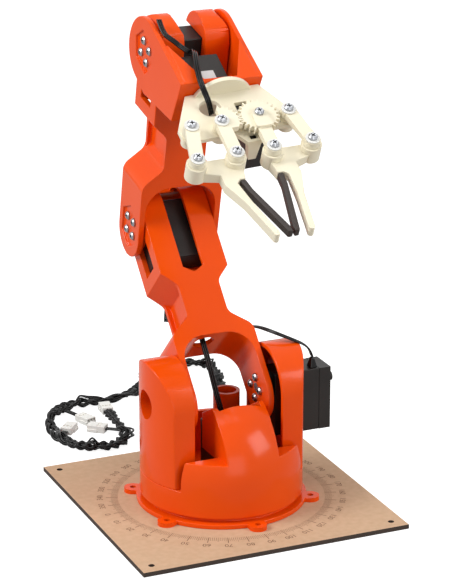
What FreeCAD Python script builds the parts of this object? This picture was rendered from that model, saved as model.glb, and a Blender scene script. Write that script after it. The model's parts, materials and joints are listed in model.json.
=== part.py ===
"""Desktop robot arm with six servos on a square board, in millimetres.

The origin is the centre of the board's underside, +Z up, +X to the right along the board's
front edge and +Y to the back. The arm folds in the YZ plane and stands in a half-raised pose.
"""
import FreeCAD, Part
import math
import os
import Sketcher

# Driving dimensions: alias, value in millimetres or degrees, what it sets
SIZES = [
    ("board_side", 180.0, "side of the square board"),
    ("board_thickness", 3.0, "fibreboard sheet"),
    ("corner_inset", 8.5, "corner hole from the board's edges"),
    ("corner_bore", 4.0, "diameter of a corner hole"),
    ("ring_radius", 55.0, "fixed ring under the turret"),
    ("ring_thickness", 3.0, "flange of the fixed ring"),
    ("ring_step_radius", 49.0, "raised middle of the ring"),
    ("ring_step", 2.6, "height of the raised middle"),
    ("lug_circle", 115.4, "diameter of the circle of ring lugs"),
    ("lug_width", 11.6, "width of a ring lug"),
    ("lug_bore", 4.0, "hole in a ring lug and in the board below"),
    ("turret_radius", 52.5, "outside of the turret"),
    ("turret_gap", 3.0, "shadow gap between ring and turret"),
    ("drum_wall", 3.5, "wall of the turret drum"),
    ("floor_rise", 3.0, "floor of the drum above its lower edge"),
    ("floor_thickness", 3.0, "floor of the drum"),
    ("deck_height", 41.0, "front deck of the drum above the board"),
    ("deck_thickness", 3.0, "front deck"),
    ("dome_height", 25.0, "centre of the drum's domed front above the board"),
    ("nose_left", 16.0, "left flank of the nose from the middle"),
    ("nose_right", 20.0, "right flank of the nose from the middle"),
    ("nose_height", 70.0, "top of the nose's flanks above the board"),
    ("nose_back", 6.0, "back of the nose's flanks from the turret axis"),
    ("nose_crest", 25.5, "back of the nose's dome from the turret axis"),
    ("flank_crest", 21.0, "highest point of a flank from the turret axis"),
    ("flank_low", 62.0, "back corner of a flank above the board"),
    ("post_bore", 13.0, "bore of the cable post"),
    ("post_wide", 17.5, "outside of the cable post"),
    ("post_rise", 62.0, "top of the cable post above the board"),
    ("post_side", 14.5, "cable post to the right of the middle"),
    ("post_back", 25.0, "cable post behind the turret axis"),
    ("shoulder_rise", 71.0, "shoulder axis above the board"),
    ("tower_gap", 1.8, "gap between a tower and the fork leg beside it"),
    ("tower_half_depth", 28.5, "half depth of a tower and radius of its arch"),
    ("tower_wall", 3.0, "wall of a tower"),
    ("tower_seam", 22.0, "lower edge of a tower above the board"),
    ("notch_gap", 3.4, "gap between the drum's wall and a tower"),
    ("tower_bore", 19.0, "round opening in the left tower"),
    ("bore_sleeve", 2.0, "wall of the sleeve behind that opening"),
    ("servo_length", 42.0, "standard servo case along its long side"),
    ("servo_width", 20.5, "standard servo case across"),
    ("servo_height", 39.5, "standard servo case along its shaft"),
    ("servo_inset", 10.5, "shaft from the near end of the case"),
    ("servo_cover", 8.0, "end cover of a standard servo"),
    ("servo_shaft", 6.0, "diameter of the output shaft"),
    ("servo_socket", 5.0, "depth of the shaft inside the case"),
    ("servo_stub", 5.0, "length of the rear stub of the shoulder servo"),
    ("servo_stub_radius", 3.0, "radius of the rear stub"),
    ("small_length", 31.3, "small servo case along its long side"),
    ("small_width", 16.5, "small servo case across"),
    ("small_height", 28.6, "small servo case along its shaft"),
    ("small_inset", 8.2, "shaft from the near end of the small case"),
    ("small_shaft", 5.0, "diameter of the small output shaft"),
    ("horn_radius", 10.0, "servo horn disc"),
    ("horn_thickness", 2.4, "servo horn disc"),
    ("horn_circle", 14.0, "screw circle of a horn"),
    ("small_horn_radius", 9.0, "horn disc of a small servo"),
    ("screw_bore", 2.6, "diameter of a horn screw"),
    ("head_radius", 2.7, "head of a horn screw"),
    ("head_height", 1.6, "head of a horn screw"),
    ("running_fit", 0.05, "radial clearance of a turning fit"),
    ("screw_fit", 0.1, "radial clearance around a screw"),
    ("open_fit", 1.2, "radial clearance around a moving horn"),
    ("link_length", 125.0, "axis to axis along a link"),
    ("link_depth", 34.0, "front to back of a link"),
    ("link_wall", 3.0, "wall of a link"),
    ("fork_gap", 0.7, "gap between a fork leg and the head that it straddles"),
    ("leg_thickness", 4.0, "fork leg"),
    ("leg_reach", 21.0, "fork leg beyond its axis"),
    ("arch_rise", 34.0, "top of the fork's arch above its axis"),
    ("arch_round", 16.0, "corner radius of the fork's arch"),
    ("fork_rise", 37.0, "top of the fork's full width"),
    ("fork_round", 9.0, "rounded shoulder of the fork"),
    ("waist_round", 7.0, "rounded ends of the waist"),
    ("waist_half", 14.0, "half width of the link's waist"),
    ("waist_start", 48.0, "lower end of the waist"),
    ("waist_end", 71.0, "upper end of the waist"),
    ("waist_recess", 3.0, "groove along each side of the waist"),
    ("link_head_start", 80.5, "lower end of the link's head"),
    ("head_wall", 3.75, "side wall of the link's head"),
    ("link_head_reach", 23.5, "link's head beyond the upper axis"),
    ("crown_round", 8.0, "rounded corners of the link's head"),
    ("slot_half", 7.0, "half width of the slot in the link's head"),
    ("slot_start", 79.0, "lower end of that slot"),
    ("slot_tip", 4.2, "height of the slot's pointed end"),
    ("slot_flare", 4.0, "how far an open slot widens at the crown"),
    ("back_wall_end", 97.0, "upper edge of the wall that closes the back of the head"),
    ("window_low", 89.0, "lower end of the window in a link's cheek"),
    ("window_high", 111.0, "upper end of that window"),
    ("window_half", 8.0, "half depth of that window"),
    ("pivot_radius", 4.0, "pivot opposite a servo"),
    ("pivot_flange", 7.0, "flange radius of a pivot"),
    ("pivot_flange_thickness", 1.5, "flange of a pivot"),
    ("pocket_half", 11.5, "half width of the recess around a horn's screws"),
    ("pocket_reach", 15.0, "recess along the link from the axis"),
    ("pocket_shoulder", 8.1, "corners of that recess from the axis"),
    ("pocket_depth", 1.6, "recess around a horn's screws"),
    ("cheek_gap", 0.9, "gap between a link's head and what straddles it"),
    ("ear_radius", 24.0, "rounded ear of the wrist block"),
    ("ear_round", 20.0, "rounding of an ear's lower back"),
    ("ear_top_round", 27.0, "rounding of an ear's upper back"),
    ("ear_slope", 3.5, "how far an ear's top falls to its back"),
    ("ear_low", 13.2, "lower corner of an ear ahead of the axis"),
    ("ear_thickness", 3.0, "side plate of the wrist block"),
    ("wrist_reach", 56.0, "front face of the wrist block from its axis"),
    ("wrist_plate", 3.0, "front plate of the wrist block"),
    ("wrist_top", 26.0, "top edge of the wrist block above its axis"),
    ("wrist_low", 6.0, "lower front edge of the wrist block below its axis"),
    ("web_start", 21.0, "rear point of a corner web"),
    ("web_inside", 11.0, "inner point of a corner web from the middle"),
    ("roll_offset", 9.0, "roll axis above the wrist axis"),
    ("roll_side", 1.6, "roll axis to the right of the middle"),
    ("roll_gap", 0.6, "gap between wrist block and palm disc"),
    ("disc_radius", 20.5, "palm disc"),
    ("disc_thickness", 3.0, "palm disc"),
    ("palm_gap", 5.0, "gripper servo ahead of the palm disc"),
    ("palm_level", 9.0, "top of the palm plate above the roll axis"),
    ("palm_thickness", 3.0, "palm plate"),
    ("palm_rear_half", 24.0, "half width of the palm plate at the disc"),
    ("palm_front_half", 37.5, "half width of the palm plate at the posts"),
    ("palm_nose", 14.0, "tongue of the palm plate beyond the hubs"),
    ("palm_nose_half", 5.0, "half width of the tongue"),
    ("palm_nose_side", 6.0, "tongue to the right of the middle"),
    ("palm_lip", 0.8, "palm plate beyond its bosses"),
    ("palm_corner", 3.0, "rounded front corners of the palm plate"),
    ("palm_window", 5.0, "square window in the tongue"),
    ("palm_window_deep", 8.0, "window below the palm plate"),
    ("guard_drop", 14.0, "guard that hangs from the tongue"),
    ("guard_low_half", 2.5, "half width of the guard's lower end"),
    ("guard_wall", 1.5, "front wall of the guard"),
    ("guard_root", 0.5, "guard set into the tongue and behind its front edge"),
    ("palm_hole", 7.0, "radius of the cable hole in the palm"),
    ("palm_hole_back", 18.0, "cable hole behind the hubs"),
    ("servo_window_back", 19.0, "window over the gripper servo, from the hubs to its back"),
    ("servo_window_front", 10.5, "front of that window behind the hubs"),
    ("gear_radius", 12.0, "pitch radius of a gripper gear, half the hub spacing"),
    ("gear_teeth", 24.0, "teeth on a full gear"),
    ("tooth_depth", 2.3, "height of a gear tooth"),
    ("tooth_root", 1.7, "width of a tooth at its root"),
    ("tooth_tip", 0.8, "width of a tooth at its tip"),
    ("sector_reach", 6.7, "front edge of the toothed sector from its hub"),
    ("gear_thickness", 4.0, "gear and its arm"),
    ("pointer_rise", 2.0, "raised pointer on the driven gear"),
    ("pointer_reach", 11.0, "pointer beyond the hub"),
    ("pointer_half", 5.6, "half width of the pointer's front"),
    ("pointer_root", 4.5, "round root of the pointer"),
    ("post_half", 31.5, "outer post of the palm from the middle"),
    ("post_height", 3.0, "boss between palm plate and arm"),
    ("post_radius", 5.0, "boss and the round end of an arm"),
    ("arm_length", 26.5, "pivot to pivot of an inner arm"),
    ("block_half", 37.0, "outer pivot of a finger from the middle"),
    ("finger_height", 11.0, "height of a finger"),
    ("stack_gap", 0.3, "gap between stacked moving pieces"),
    ("axle_bore", 3.0, "diameter of a gripper axle"),
    ("axle_head", 2.75, "head radius of a gripper axle"),
    ("axle_head_height", 2.5, "head of a gripper axle"),
    ("washer_radius", 4.5, "washer under a head"),
    ("washer_thickness", 0.7, "washer under a head"),
    ("nut_radius", 3.0, "nut under the palm or a finger"),
    ("nut_height", 2.4, "nut under the palm or a finger"),
    ("loop_fit", 1.0, "clearance of the open pivot of the gripper's linkage"),
    ("arm_half", 4.2, "half width of a gripper arm"),
    ("boss_radius", 6.5, "round boss of a finger at its pivots"),
    ("bar_height", 7.0, "height of a finger's bar"),
    ("bar_drop", 4.0, "top of a finger's bar below its bosses"),
    ("bar_shoulder", 8.4, "inner corner of a finger ahead of its pivots"),
    ("root_round", 4.0, "rounding of a finger's bend"),
    ("tip_round", 2.0, "rounding of a finger's tip"),
    ("root_reach", 43.0, "bend of a finger beyond the hubs"),
    ("root_out", 24.5, "outer side of that bend from the middle"),
    ("root_in", 16.5, "inner side of that bend"),
    ("mid_reach", 59.0, "end of the bend beyond the hubs"),
    ("mid_out", 18.8, "outer side of the finger there"),
    ("mid_in", 14.3, "inner side of the finger there"),
    ("finger_reach", 87.5, "tip of a finger beyond the hubs"),
    ("tip_out", 12.6, "outer side of a finger's tip"),
    ("tip_in", 8.7, "inner side of a finger's tip"),
    ("jaw_root", 40.5, "root of a jaw beyond the hubs"),
    ("jaw_root_in", 10.3, "inner side of a jaw's root"),
    ("jaw_root_out", 14.0, "outer side of a jaw's root"),
    ("jaw_bow", 49.0, "bow of a jaw beyond the hubs"),
    ("jaw_bow_in", 9.4, "inner side of a jaw at its bow"),
    ("jaw_bow_out", 12.9, "outer side of a jaw at its bow"),
    ("jaw_reach", 86.0, "tip of a jaw beyond the hubs"),
    ("jaw_tip_out", 3.6, "outer side of a jaw's tip"),
    ("jaw_height", 6.0, "height of a jaw"),
    ("jaw_drop", 4.5, "top of a jaw below the finger's bosses"),
    ("jaw_gap", 0.5, "half gap between the closed jaws"),
    ("tip_side", 4.0, "fingertips to the right of the middle"),
    ("harness_wide", 6.0, "braided harness"),
    ("gland_wide", 12.0, "clip that holds the harness on the board"),
    ("gland_deep", 9.0, "clip front to back"),
    ("gland_tall", 9.0, "clip above the board"),
    ("gland_side", 32.0, "clip to the right of the middle"),
    ("gland_back", 58.5, "middle of the clip behind the turret axis"),
    ("lead_wide", 2.6, "servo lead"),
    ("lead_bore", 14.0, "hole for a lead in the arch of a link"),
    ("lead_bore_side", 4.0, "that hole to the left of the middle"),
    ("lead_bore_front", 5.0, "that hole towards the front"),
    ("plug_long", 13.0, "connector on the harness"),
    ("plug_wide", 8.0, "connector on the harness"),
    ("plug_tall", 5.0, "connector on the harness"),
    ("plug_step", 5.2, "start of a connector's wider half"),
    ("plug_step_wide", 9.2, "width of that half"),
    ("plug_step_tall", 2.5, "height of that half"),
    ("plug_lift", 0.1, "connector above the table"),
    ("grommet_long", 6.5, "rubber sleeve on the shoulder servo"),
    ("grommet_wide", 5.5, "foot of that sleeve"),
    ("grommet_tall", 7.0, "height of that sleeve"),
    ("grommet_side", 61.0, "sleeve to the right of the middle"),
    ("grommet_front", 6.0, "sleeve ahead of the shoulder axis"),
    ("shoulder_lean", 43.8, "upper arm leaning back from upright, degrees"),
    ("elbow_bend", 56.5, "forearm bent forward from the upper arm, degrees"),
    ("wrist_bend", 108.7, "gripper bent forward from the forearm, degrees"),
    ("roll_angle", 5.0, "gripper turned about its roll axis, degrees"),
]


class Size:
    """A number tied to the sheet: its value now and the expression that gives it."""

    def __init__(self, value, text):
        self.value = value
        self.text = text

    def __add__(self, other):
        other = as_size(other)
        return Size(self.value + other.value, f"({self.text} + {other.text})")

    def __sub__(self, other):
        other = as_size(other)
        return Size(self.value - other.value, f"({self.text} - {other.text})")

    def __mul__(self, factor):
        factor = as_size(factor)
        return Size(self.value * factor.value, f"({self.text} * {factor.text})")

    def __truediv__(self, factor):
        factor = as_size(factor)
        return Size(self.value / factor.value, f"({self.text} / {factor.text})")

    def __neg__(self):
        return Size(-self.value, f"(-{self.text})")

    def __rsub__(self, other):
        return as_size(other) - self

    __radd__ = __add__
    __rmul__ = __mul__


def as_size(item):
    """A plain number as a Size."""
    if isinstance(item, Size):
        return item
    return Size(float(item), f"({float(item)})")


doc = FreeCAD.newDocument("robot_arm")
sheet = doc.addObject("Spreadsheet::Sheet", "Sizes")
named = {}
for row, (alias, value, note) in enumerate(SIZES, start=1):
    sheet.set(f"A{row}", alias)
    sheet.set(f"B{row}", str(value))
    sheet.setAlias(f"B{row}", alias)
    sheet.set(f"C{row}", note)
    named[alias] = Size(value, f"Sizes.{alias}")
doc.recompute()


def size(alias):
    """The driving dimension with that alias."""
    return named[alias]


# Frames of the moving pieces, each an expression for a Placement
def frame(parent, offset, axis, angle):
    """The frame at an offset in its parent, turned about one of the parent's axes."""
    place = "; ".join(as_size(amount).text for amount in offset)
    turn = f"rotation(vector({axis}); {as_size(angle).text})"
    own = f"placement(vector({place}); {turn})"
    return f"{parent} * {own}" if parent else own


X_AXIS, Y_AXIS, Z_AXIS = "1; 0; 0", "0; 1; 0", "0; 0; 1"
LUG_COUNT, LUG_START = 6, 30.0
HORN_SCREWS, HORN_START = 4, 45.0
# a rounding just short of half the side, so that a short straight stays between two of them
HALF_ROUND = 0.999
# how far along the waist its groove starts, so that the fork's hollow stays closed
GROOVE_START = 1.5
board_top = size("board_thickness")
fork_half = size("servo_height") / 2 + size("head_wall") + size("fork_gap") + size("leg_thickness")
tower_inside = fork_half + size("tower_gap")
shoulder_axis = board_top + size("shoulder_rise")
BASE = frame("", (0, 0, 0), Z_AXIS, 0)
UPPER = frame("", (0, 0, shoulder_axis), X_AXIS, -size("shoulder_lean"))
FORE = frame(UPPER, (0, 0, size("link_length")), X_AXIS, size("elbow_bend"))
WRIST = frame(FORE, (0, 0, size("link_length")), X_AXIS, size("wrist_bend"))
PALM = frame(WRIST, (size("roll_side"), size("roll_offset"), 0), Z_AXIS, size("roll_angle"))

parts = []


def bind(item, path, amount):
    """Tie a property to the sheet."""
    item.setExpression(path, as_size(amount).text)


def lay(item, base, axis=Z_AXIS, angle=0):
    """Put a primitive at a place in its sub-part's own frame."""
    item.setExpression("Placement", frame("", base, axis, angle))
    return item


def box(x0, x1, y0, y1, z0, z1):
    """A block between two corners."""
    item = doc.addObject("Part::Box", "block")
    for side, low, high in (("Length", x0, x1), ("Width", y0, y1), ("Height", z0, z1)):
        bind(item, side, as_size(high) - low)
    return lay(item, (x0, y0, z0))


# How a cylinder that stands along Z turns to lie along each axis
ROD_TURN = {"X": (Y_AXIS, 90), "Y": (X_AXIS, -90), "Z": (Z_AXIS, 0)}


def rod(axis, centre, radius, low, high):
    """A round bar along one axis; centre holds the two other coordinates in order."""
    item = doc.addObject("Part::Cylinder", "rod")
    bind(item, "Radius", radius)
    bind(item, "Height", as_size(high) - low)
    base = list(centre)
    base.insert("XYZ".index(axis), low)
    return lay(item, base, *ROD_TURN[axis])


def cut(base, *tools):
    """The base less its tools."""
    item = doc.addObject("Part::Cut", "cut")
    item.Base = base
    item.Tool = tools[0] if len(tools) == 1 else fuse(*tools)
    item.Refine = True
    return item


def fuse(*pieces):
    """Pieces joined into one."""
    item = doc.addObject("Part::MultiFuse", "fuse")
    item.Shapes = list(pieces)
    item.Refine = True
    return item


def common(first, second):
    """What two pieces share."""
    item = doc.addObject("Part::Common", "common")
    item.Base = first
    item.Tool = second
    item.Refine = True
    return item


def corner_arc(before, corner, after, radius):
    """Where an arc of that radius leaves and meets the two lines at a corner, and its geometry."""
    first = (before - corner).normalize()
    second = (after - corner).normalize()
    half = first.getAngle(second) / 2
    reach = radius / math.tan(half)
    enter = corner + first * reach
    leave = corner + second * reach
    centre = corner + (first + second).normalize() * (radius / math.sin(half))
    start = math.atan2(enter.y - centre.y, enter.x - centre.x)
    stop = math.atan2(leave.y - centre.y, leave.x - centre.x)
    left_turn = first.cross(second).z < 0
    if not left_turn:
        start, stop = stop, start
    circle = Part.Circle(centre, FreeCAD.Vector(0, 0, 1), radius)
    return enter, leave, Part.ArcOfCircle(circle, start, stop), left_turn


def draw_outline(sketch, points):
    """A closed outline of lines; a point with a third value is a corner rounded to that radius."""
    corners = [FreeCAD.Vector(as_size(p[0]).value, as_size(p[1]).value, 0) for p in points]
    count = len(points)
    arcs = {}
    for i, point in enumerate(points):
        if len(point) == 3:
            radius = as_size(point[2]).value
            arcs[i] = corner_arc(corners[i - 1], corners[i], corners[(i + 1) % count], radius)
    for i in range(count):
        after = (i + 1) % count
        start = arcs[i][1] if i in arcs else corners[i]
        stop = arcs[after][0] if after in arcs else corners[after]
        sketch.addGeometry(Part.LineSegment(start, stop), False)

    def pin(geometry, vertex, point):
        for kind, amount in zip(("DistanceX", "DistanceY"), point):
            amount = as_size(amount)
            number = sketch.addConstraint(Sketcher.Constraint(kind, geometry, vertex, amount.value))
            sketch.setExpression(f"Constraints[{number}]", amount.text)

    for i, point in enumerate(points):
        line, before = i, (i - 1) % count
        if i not in arcs:
            sketch.addConstraint(Sketcher.Constraint("Coincident", before, 2, line, 1))
            pin(line, 1, point)
            continue
        left_turn = arcs[i][3]
        arc = sketch.addGeometry(arcs[i][2], False)
        mark = sketch.addGeometry(Part.Point(corners[i]), True)
        pin(mark, 1, point)
        sketch.addConstraint(Sketcher.Constraint("PointOnObject", mark, 1, before))
        sketch.addConstraint(Sketcher.Constraint("PointOnObject", mark, 1, line))
        enter, leave = (1, 2) if left_turn else (2, 1)
        sketch.addConstraint(Sketcher.Constraint("Tangent", before, 2, arc, enter))
        sketch.addConstraint(Sketcher.Constraint("Tangent", line, 1, arc, leave))
        radius = as_size(point[2])
        number = sketch.addConstraint(Sketcher.Constraint("Radius", arc, radius.value))
        sketch.setExpression(f"Constraints[{number}]", radius.text)


def new_sketch(body, plane, level):
    """A sketch on one of the body's planes, moved along the plane's normal."""
    sketch = body.newObject("Sketcher::SketchObject", "outline")
    origin = [f for f in body.Origin.OriginFeatures if f.Role == f"{plane}_Plane"][0]
    sketch.AttachmentSupport = [(origin, "")]
    sketch.MapMode = "FlatFace"
    bind(sketch, "AttachmentOffset.Base.z", level)
    return sketch


def pad(body, sketch, thickness):
    """A pad of that thickness along the sketch's normal."""
    feature = body.newObject("PartDesign::Pad", "pad")
    feature.Profile = sketch
    bind(feature, "Length", thickness)
    return feature


def prism(plane, points, low, high):
    """A body padded from an outline, from low to high along the plane's third axis."""
    body = doc.addObject("PartDesign::Body", "prism")
    # the XZ plane's normal points along -Y
    level = -as_size(high) if plane == "XZ" else as_size(low)
    sketch = new_sketch(body, plane, level)
    draw_outline(sketch, points)
    pad(body, sketch, as_size(high) - low)
    return body


def part(label, item, place):
    """Name a finished sub-part and put it in its frame."""
    item.Label = label
    own = [text for path, text in item.ExpressionEngine if path == "Placement"]
    item.setExpression("Placement", f"{place} * {own[0]}" if own else place)
    parts.append(item)


def around(count, radius, start=0.0):
    """Points spaced evenly on a circle."""
    for i in range(count):
        angle = math.radians(start + 360.0 * i / count)
        yield radius * math.cos(angle), radius * math.sin(angle)


def mirrored(points, side):
    """An outline with its first coordinate on one side of the middle."""
    return [(side * as_size(p[0]), *p[1:]) for p in points]


def span(side, near, far):
    """A stretch across the middle plane's normal, on either side, in rising order."""
    near, far = side * as_size(near), side * as_size(far)
    return (near, far) if side > 0 else (far, near)


def horn_points():
    """The four screws of a horn, across from its centre."""
    return list(around(HORN_SCREWS, size("horn_circle") / 2, HORN_START))


def horn_bores(centre, low, high, radius):
    """Round bars along X at the horn's screws, about a (y, z) centre."""
    return [rod("X", (centre[0] + y, centre[1] + z), radius, low, high) for y, z in horn_points()]


# Heights of the turret above the board's underside
ring_top = board_top + size("ring_thickness")
step_top = ring_top + size("ring_step")
drum_foot = ring_top + size("turret_gap")
floor_low = drum_foot + size("floor_rise")
floor_top = floor_low + size("floor_thickness")
deck_top = board_top + size("deck_height")
seam = board_top + size("tower_seam")


def base_board():
    half = size("board_side") / 2
    sheet_solid = box(-half, half, -half, half, 0, board_top)
    pitch = half - size("corner_inset")
    bore = size("corner_bore") / 2
    holes = [rod("Z", (sx * pitch, sy * pitch), bore, 0, board_top) for sx in (-1, 1) for sy in (-1, 1)]
    lug = size("lug_bore") / 2
    spots = around(LUG_COUNT, size("lug_circle") / 2, LUG_START)
    holes += [rod("Z", spot, lug, 0, board_top) for spot in spots]
    part("base_board", cut(sheet_solid, *holes), BASE)


def base_ring():
    flange = rod("Z", (0, 0), size("ring_radius"), board_top, ring_top)
    step = rod("Z", (0, 0), size("ring_step_radius"), board_top, step_top)
    reach = size("lug_circle") / 2
    half = size("lug_width") / 2
    lugs = []
    for i in range(LUG_COUNT):
        lug = fuse(box(0, reach, -half, half, board_top, ring_top),
                   rod("Z", (reach, 0), half, board_top, ring_top))
        lug.setExpression("Placement", frame("", (0, 0, 0), Z_AXIS, LUG_START + 360.0 * i / LUG_COUNT))
        lugs.append(lug)
    bore = size("lug_bore") / 2
    spots = around(LUG_COUNT, reach, LUG_START)
    holes = [rod("Z", spot, bore, board_top, ring_top) for spot in spots]
    part("base_ring", cut(fuse(flange, step, *lugs), *holes), BASE)


def base_drive():
    """The base servo stands in the drum under the nose, and its shaft stands on the fixed ring."""
    shaft = size("servo_shaft") / 2
    horn_top = step_top + size("horn_thickness")
    horn = rod("Z", (0, 0), size("horn_radius"), step_top, horn_top)
    part("base_horn", cut(horn, rod("Z", (0, 0), shaft, step_top, horn_top)), BASE)
    socket_top = floor_top + size("servo_socket")
    part("base_servo_shaft", rod("Z", (0, 0), shaft, step_top, socket_top), BASE)
    half = size("servo_width") / 2
    far = size("servo_length") - size("servo_inset")
    case = box(-half, half, -far, size("servo_inset"), floor_top, floor_top + size("servo_height"))
    socket = rod("Z", (0, 0), shaft + size("running_fit"), floor_top, socket_top + size("stack_gap"))
    part("base_servo_case", cut(case, socket), BASE)


def ball(centre_height, radius):
    """A ball on the turret axis."""
    item = doc.addObject("Part::Sphere", "ball")
    bind(item, "Radius", radius)
    return lay(item, (0, 0, centre_height))


def turret_drum():
    """Drum with a floor, a front deck and the domed nose that rises from it."""
    radius = size("turret_radius")
    inner = radius - size("drum_wall")
    dome = board_top + size("dome_height")
    crest = dome + radius
    depth = size("tower_half_depth") + size("notch_gap")
    outside = fuse(rod("Z", (0, 0), radius, drum_foot, dome), ball(dome, radius))
    inside = fuse(rod("Z", (0, 0), inner, floor_top, dome), ball(dome, inner))
    recess = rod("Z", (0, 0), inner, drum_foot, floor_low)
    bore = rod("Z", (0, 0), size("servo_shaft"), floor_low, floor_top)
    low = box(-radius, radius, -radius, radius, drum_foot, deck_top)
    high = box(-size("nose_left"), size("nose_right"), -radius, -size("nose_crest"), deck_top, crest)
    hollow = common(inside, box(-radius, radius, -radius, radius, floor_top, crest))
    shell = cut(common(outside, fuse(low, high)), hollow, recess, bore)
    clear = tower_inside - size("stack_gap")
    notches = [box(*span(side, clear, radius), -depth, depth, seam, deck_top) for side in (-1, 1)]
    left, right = size("nose_left"), size("nose_right")
    deck_low = deck_top - size("deck_thickness")
    decks = fuse(box(-radius, -left, -radius, -depth, deck_low, deck_top),
                 box(right, radius, -radius, -depth, deck_low, deck_top))
    wall, back = size("drum_wall"), -size("nose_back")
    high_edge, low_edge = board_top + size("nose_height"), board_top + size("flank_low")
    flank = [(-radius, deck_low), (back, deck_low), (back, low_edge), (-size("flank_crest"), high_edge),
             (-radius, high_edge)]
    flank_walls = [common(outside, prism("YZ", flank, *ends))
                   for ends in ((-left, wall - left), (right - wall, right))]
    post_spot = (size("post_side"), size("post_back"))
    post_top = board_top + size("post_rise")
    post = cut(rod("Z", post_spot, size("post_wide") / 2, floor_low, post_top),
               rod("Z", post_spot, size("post_bore") / 2, floor_low, post_top))
    part("turret_drum", fuse(cut(shell, *notches), common(outside, decks), *flank_walls, post), BASE)


def arch_outline(half, low):
    """A tower seen from the side: upright sides and a half-round top about the shoulder axis."""
    top = shoulder_axis + half
    return [(-half, low), (half, low), (half, top, half * HALF_ROUND), (-half, top, half * HALF_ROUND)]


def tower(label, side, inner_wall, cuts, sleeve=None):
    """One hollow tower, the bars that are cut from it and the bar that stays in its hollow."""
    radius = size("turret_radius")
    wall = size("tower_wall")
    half = size("tower_half_depth")
    inside = tower_inside
    top = shoulder_axis + half
    outer = common(prism("YZ", arch_outline(half, seam), *span(side, inside, radius)),
                   rod("Z", (0, 0), radius, seam, top))
    hollow = common(prism("YZ", arch_outline(half - wall, seam), *span(side, inside + inner_wall, radius)),
                    rod("Z", (0, 0), radius - wall, seam, top))
    shell = cut(outer, hollow)
    if sleeve:
        shell = fuse(shell, common(outer, sleeve))
    part(label, cut(shell, *cuts), BASE)


def towers():
    wall = size("tower_wall")
    inside = tower_inside
    radius = size("turret_radius")
    axis = (0, shoulder_axis)
    pin_bore = rod("X", axis, size("pivot_radius") + size("running_fit"), -inside - wall, -inside)
    opening = rod("X", axis, size("tower_bore") / 2, -radius, -inside - wall)
    sleeve = rod("X", axis, size("tower_bore") / 2 + size("bore_sleeve"), -radius, -inside)
    tower("left_tower", -1, wall, [pin_bore, opening], sleeve)
    half = size("servo_width") / 2
    top = shoulder_axis + size("servo_inset")
    servo_room = box(inside + wall, radius, -half, half, top - size("servo_length"), top)
    tower("right_tower", 1, 0, [servo_room])


def shoulder_drive():
    """The shoulder servo in the right tower and the plain pivot in the left one."""
    near = tower_inside + size("tower_wall")
    far = near + size("servo_height")
    joint = far - size("servo_cover")
    half = size("servo_width") / 2
    top = shoulder_axis + size("servo_inset")
    low = top - size("servo_length")
    axis = (0, shoulder_axis)
    shaft = size("servo_shaft") / 2
    socket = near + size("servo_socket")
    case = cut(box(near, joint, -half, half, low, top),
               rod("X", axis, shaft + size("running_fit"), near, socket + size("stack_gap")))
    part("shoulder_servo_case", case, BASE)
    edge = size("head_radius") + 2 * size("screw_fit")
    spots = [(sy * (half - edge), z) for sy in (-1, 1) for z in (low + edge, top - edge)]
    seat = far - size("head_height")
    sinks = [rod("X", spot, size("head_radius") + size("screw_fit"), seat, far) for spot in spots]
    cover = fuse(cut(box(joint, far, -half, half, low, top), *sinks),
                 rod("X", axis, size("servo_stub_radius"), far, far + size("servo_stub")))
    part("shoulder_servo_cover", cover, BASE)
    heads = [rod("X", spot, size("head_radius"), seat, far) for spot in spots]
    part("shoulder_servo_screws", fuse(*heads), BASE)
    pivot = size("pivot_radius")
    inside = tower_inside
    head = inside + size("tower_wall") + size("pivot_flange_thickness")
    tip = fork_half - size("leg_thickness")
    pin = fuse(rod("X", axis, pivot, -head, -tip),
               rod("X", axis, size("pivot_flange"), -head, -inside - size("tower_wall")))
    part("shoulder_pivot_pin", pin, BASE)


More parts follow.
